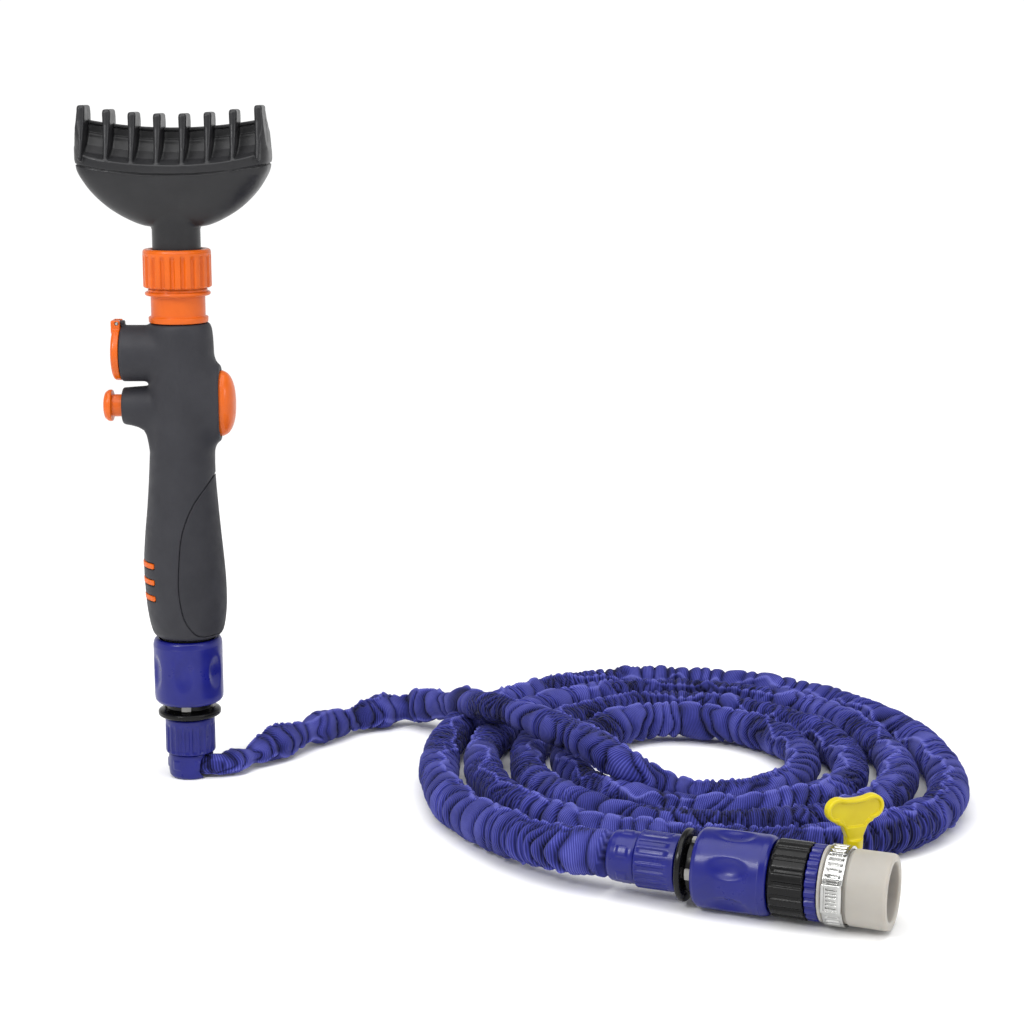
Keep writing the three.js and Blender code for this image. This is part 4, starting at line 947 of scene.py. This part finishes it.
SATIN = {"specular_ior_level": 0.28}
GLOSS = {"specular_ior_level": 0.32, "coat_weight": 0.1, "coat_roughness": 0.1}
DARK = {"specular_ior_level": 0.2, "coat_weight": 0.05, "coat_roughness": 0.1}
MOULDED = {  # colour, shade, range of roughness, grain's scale and depth in metres, other sockets
    "head_plastic": ((36, 36, 38), (31, 31, 33), (0.3, 0.42), 1500, 0.00002, SATIN),
    "grip_plastic": ((45, 45, 50), (40, 40, 45), (0.48, 0.62), 2300, 0.00005, SATIN),
    "grip_panel": ((42, 42, 47), (37, 37, 42), (0.52, 0.68), 2700, 0.00006, SATIN),
    "orange_plastic": ((208, 92, 4), (196, 84, 3), (0.3, 0.4), 900, 0.00001, GLOSS),
    "orange_inlay": ((208, 92, 8), (196, 84, 6), (0.42, 0.55), 1500, 0.00002, SATIN),
    "blue_plastic": ((12, 18, 110), (9, 15, 101), (0.26, 0.38), 900, 0.00001, GLOSS),
    "black_plastic": ((8, 8, 9), (5, 5, 6), (0.2, 0.34), 900, 0.00001, DARK),
    "inner_plastic": ((120, 120, 124), (110, 110, 114), (0.4, 0.55), 1200, 0.00002, {}),
    "white_plastic": ((150, 149, 146), (138, 137, 134), (0.35, 0.5), 1200, 0.00002, {}),
    "yellow_plastic": ((206, 190, 4), (194, 174, 3), (0.28, 0.4), 900, 0.00001, GLOSS),
    "seal_rubber": ((14, 14, 14), (10, 10, 10), (0.6, 0.8), 2000, 0.00004, {}),
    "steel": ((196, 196, 194), (160, 160, 158), (0.14, 0.24), 700, 0.000002, {"metallic": 1.0}),
}


def build_materials():
    slots = {name: moulded(name, *finish, **sockets) for name, (*finish, sockets) in MOULDED.items()}
    return slots | {"silicone": translucent("silicone"), "hose_fabric": fabric("hose_fabric")}


CARRIED_NODES = {  # the small inner parts whose CAD meshes stay
    "white_plastic": ["near_latch_claws", "far_latch_claws"],
    "steel": ["near_collar_spring", "far_collar_spring", "button_spring", "valve_stem", "cap_hinge_pin",
              "clamp_screw"],
    "inner_plastic": ["water_tube_lower", "water_tube_upper", "valve_body"],
    "seal_rubber": ["valve_seal", "filler_seal", "dosing_seal", "tail_nipple_seal", "adapter_nipple_seal",
                    "neck_washer", "head_gasket"],
}


def finish_carried(slots):
    for slot, names in CARRIED_NODES.items():
        for name in names:
            NODES[name].data.materials.clear()
            NODES[name].data.materials.append(slots[slot])


# ---------------------------------------------------------------- stage


def build_stage():
    """A pale round floor in a studio that is white along the horizon and dimmer overhead."""
    angles = [TAU * k / FLOOR_SIDES for k in range(FLOOR_SIDES)]
    ring = [(FLOOR_X + FLOOR_R * math.cos(angle), FLOOR_R * math.sin(angle), 0) for angle in angles]
    mesh = bpy.data.meshes.new("floor")
    mesh.from_pydata(ring, [], [tuple(range(FLOOR_SIDES))])
    floor = bpy.data.objects.new("floor", mesh)
    material, _, shader = new_material("floor_paint", roughness=0.9, specular_ior_level=0.1)
    shader.inputs["Base Color"].default_value = (0.98, 0.98, 0.98, 1)
    mesh.materials.append(material)
    bpy.context.scene.collection.objects.link(floor)
    world = bpy.data.worlds.new("studio")
    world.use_nodes = True
    tree = world.node_tree
    direction = tree.nodes.new("ShaderNodeTexCoord")
    split = tree.nodes.new("ShaderNodeSeparateXYZ")
    tree.links.new(direction.outputs["Generated"], split.inputs["Vector"])
    sky = spread(tree, split.outputs["Z"], HORIZON_LIGHT, ZENITH_LIGHT, 0.2, 0.5)
    tree.nodes["Background"].inputs["Color"].default_value = (1, 1, 1, 1)
    tree.links.new(sky, tree.nodes["Background"].inputs["Strength"])
    bpy.context.scene.world = world
    bpy.context.scene.view_settings.view_transform = "Standard"


def area_light(name, place, target, size, power):
    light = bpy.data.lights.new(name, "AREA")
    light.size = size
    light.energy = power
    lamp = bpy.data.objects.new(name, light)
    lamp.location = place
    lamp.rotation_euler = (Vector(target) - Vector(place)).to_track_quat("-Z", "Y").to_euler()
    bpy.context.scene.collection.objects.link(lamp)


def build_camera():
    camera = bpy.data.cameras.new("camera")
    camera.sensor_width = 36
    camera.lens = CAMERA_LENS
    view = bpy.data.objects.new("camera", camera)
    view.location = CAMERA_PLACE
    view.rotation_euler = (math.radians(90 - CAMERA_DIP), 0, 0)
    bpy.context.scene.collection.objects.link(view)
    bpy.context.scene.camera = view


# ---------------------------------------------------------------- the sprayer

slots = build_materials()
finish_carried(slots)
build_stage()
for light in LIGHTS:
    area_light(*light)
build_camera()
build_grip(slots)
build_head(slots)
build_coupler("near", near_place, slots, "near_collar", True, NEAR_DIMPLE)
turned("tail_fitting", nipple_profile(10.5, 88.8), near_place, slots["black_plastic"], "handle",
       ["tail_nipple"], around=96, corner=0.4)
far_pieces = build_coupler("far", far_place, slots, "far_collar", False, FAR_DIMPLE) + build_adapter(slots)
hose_piece, hose_path = build_hose(slots["hose_fabric"])
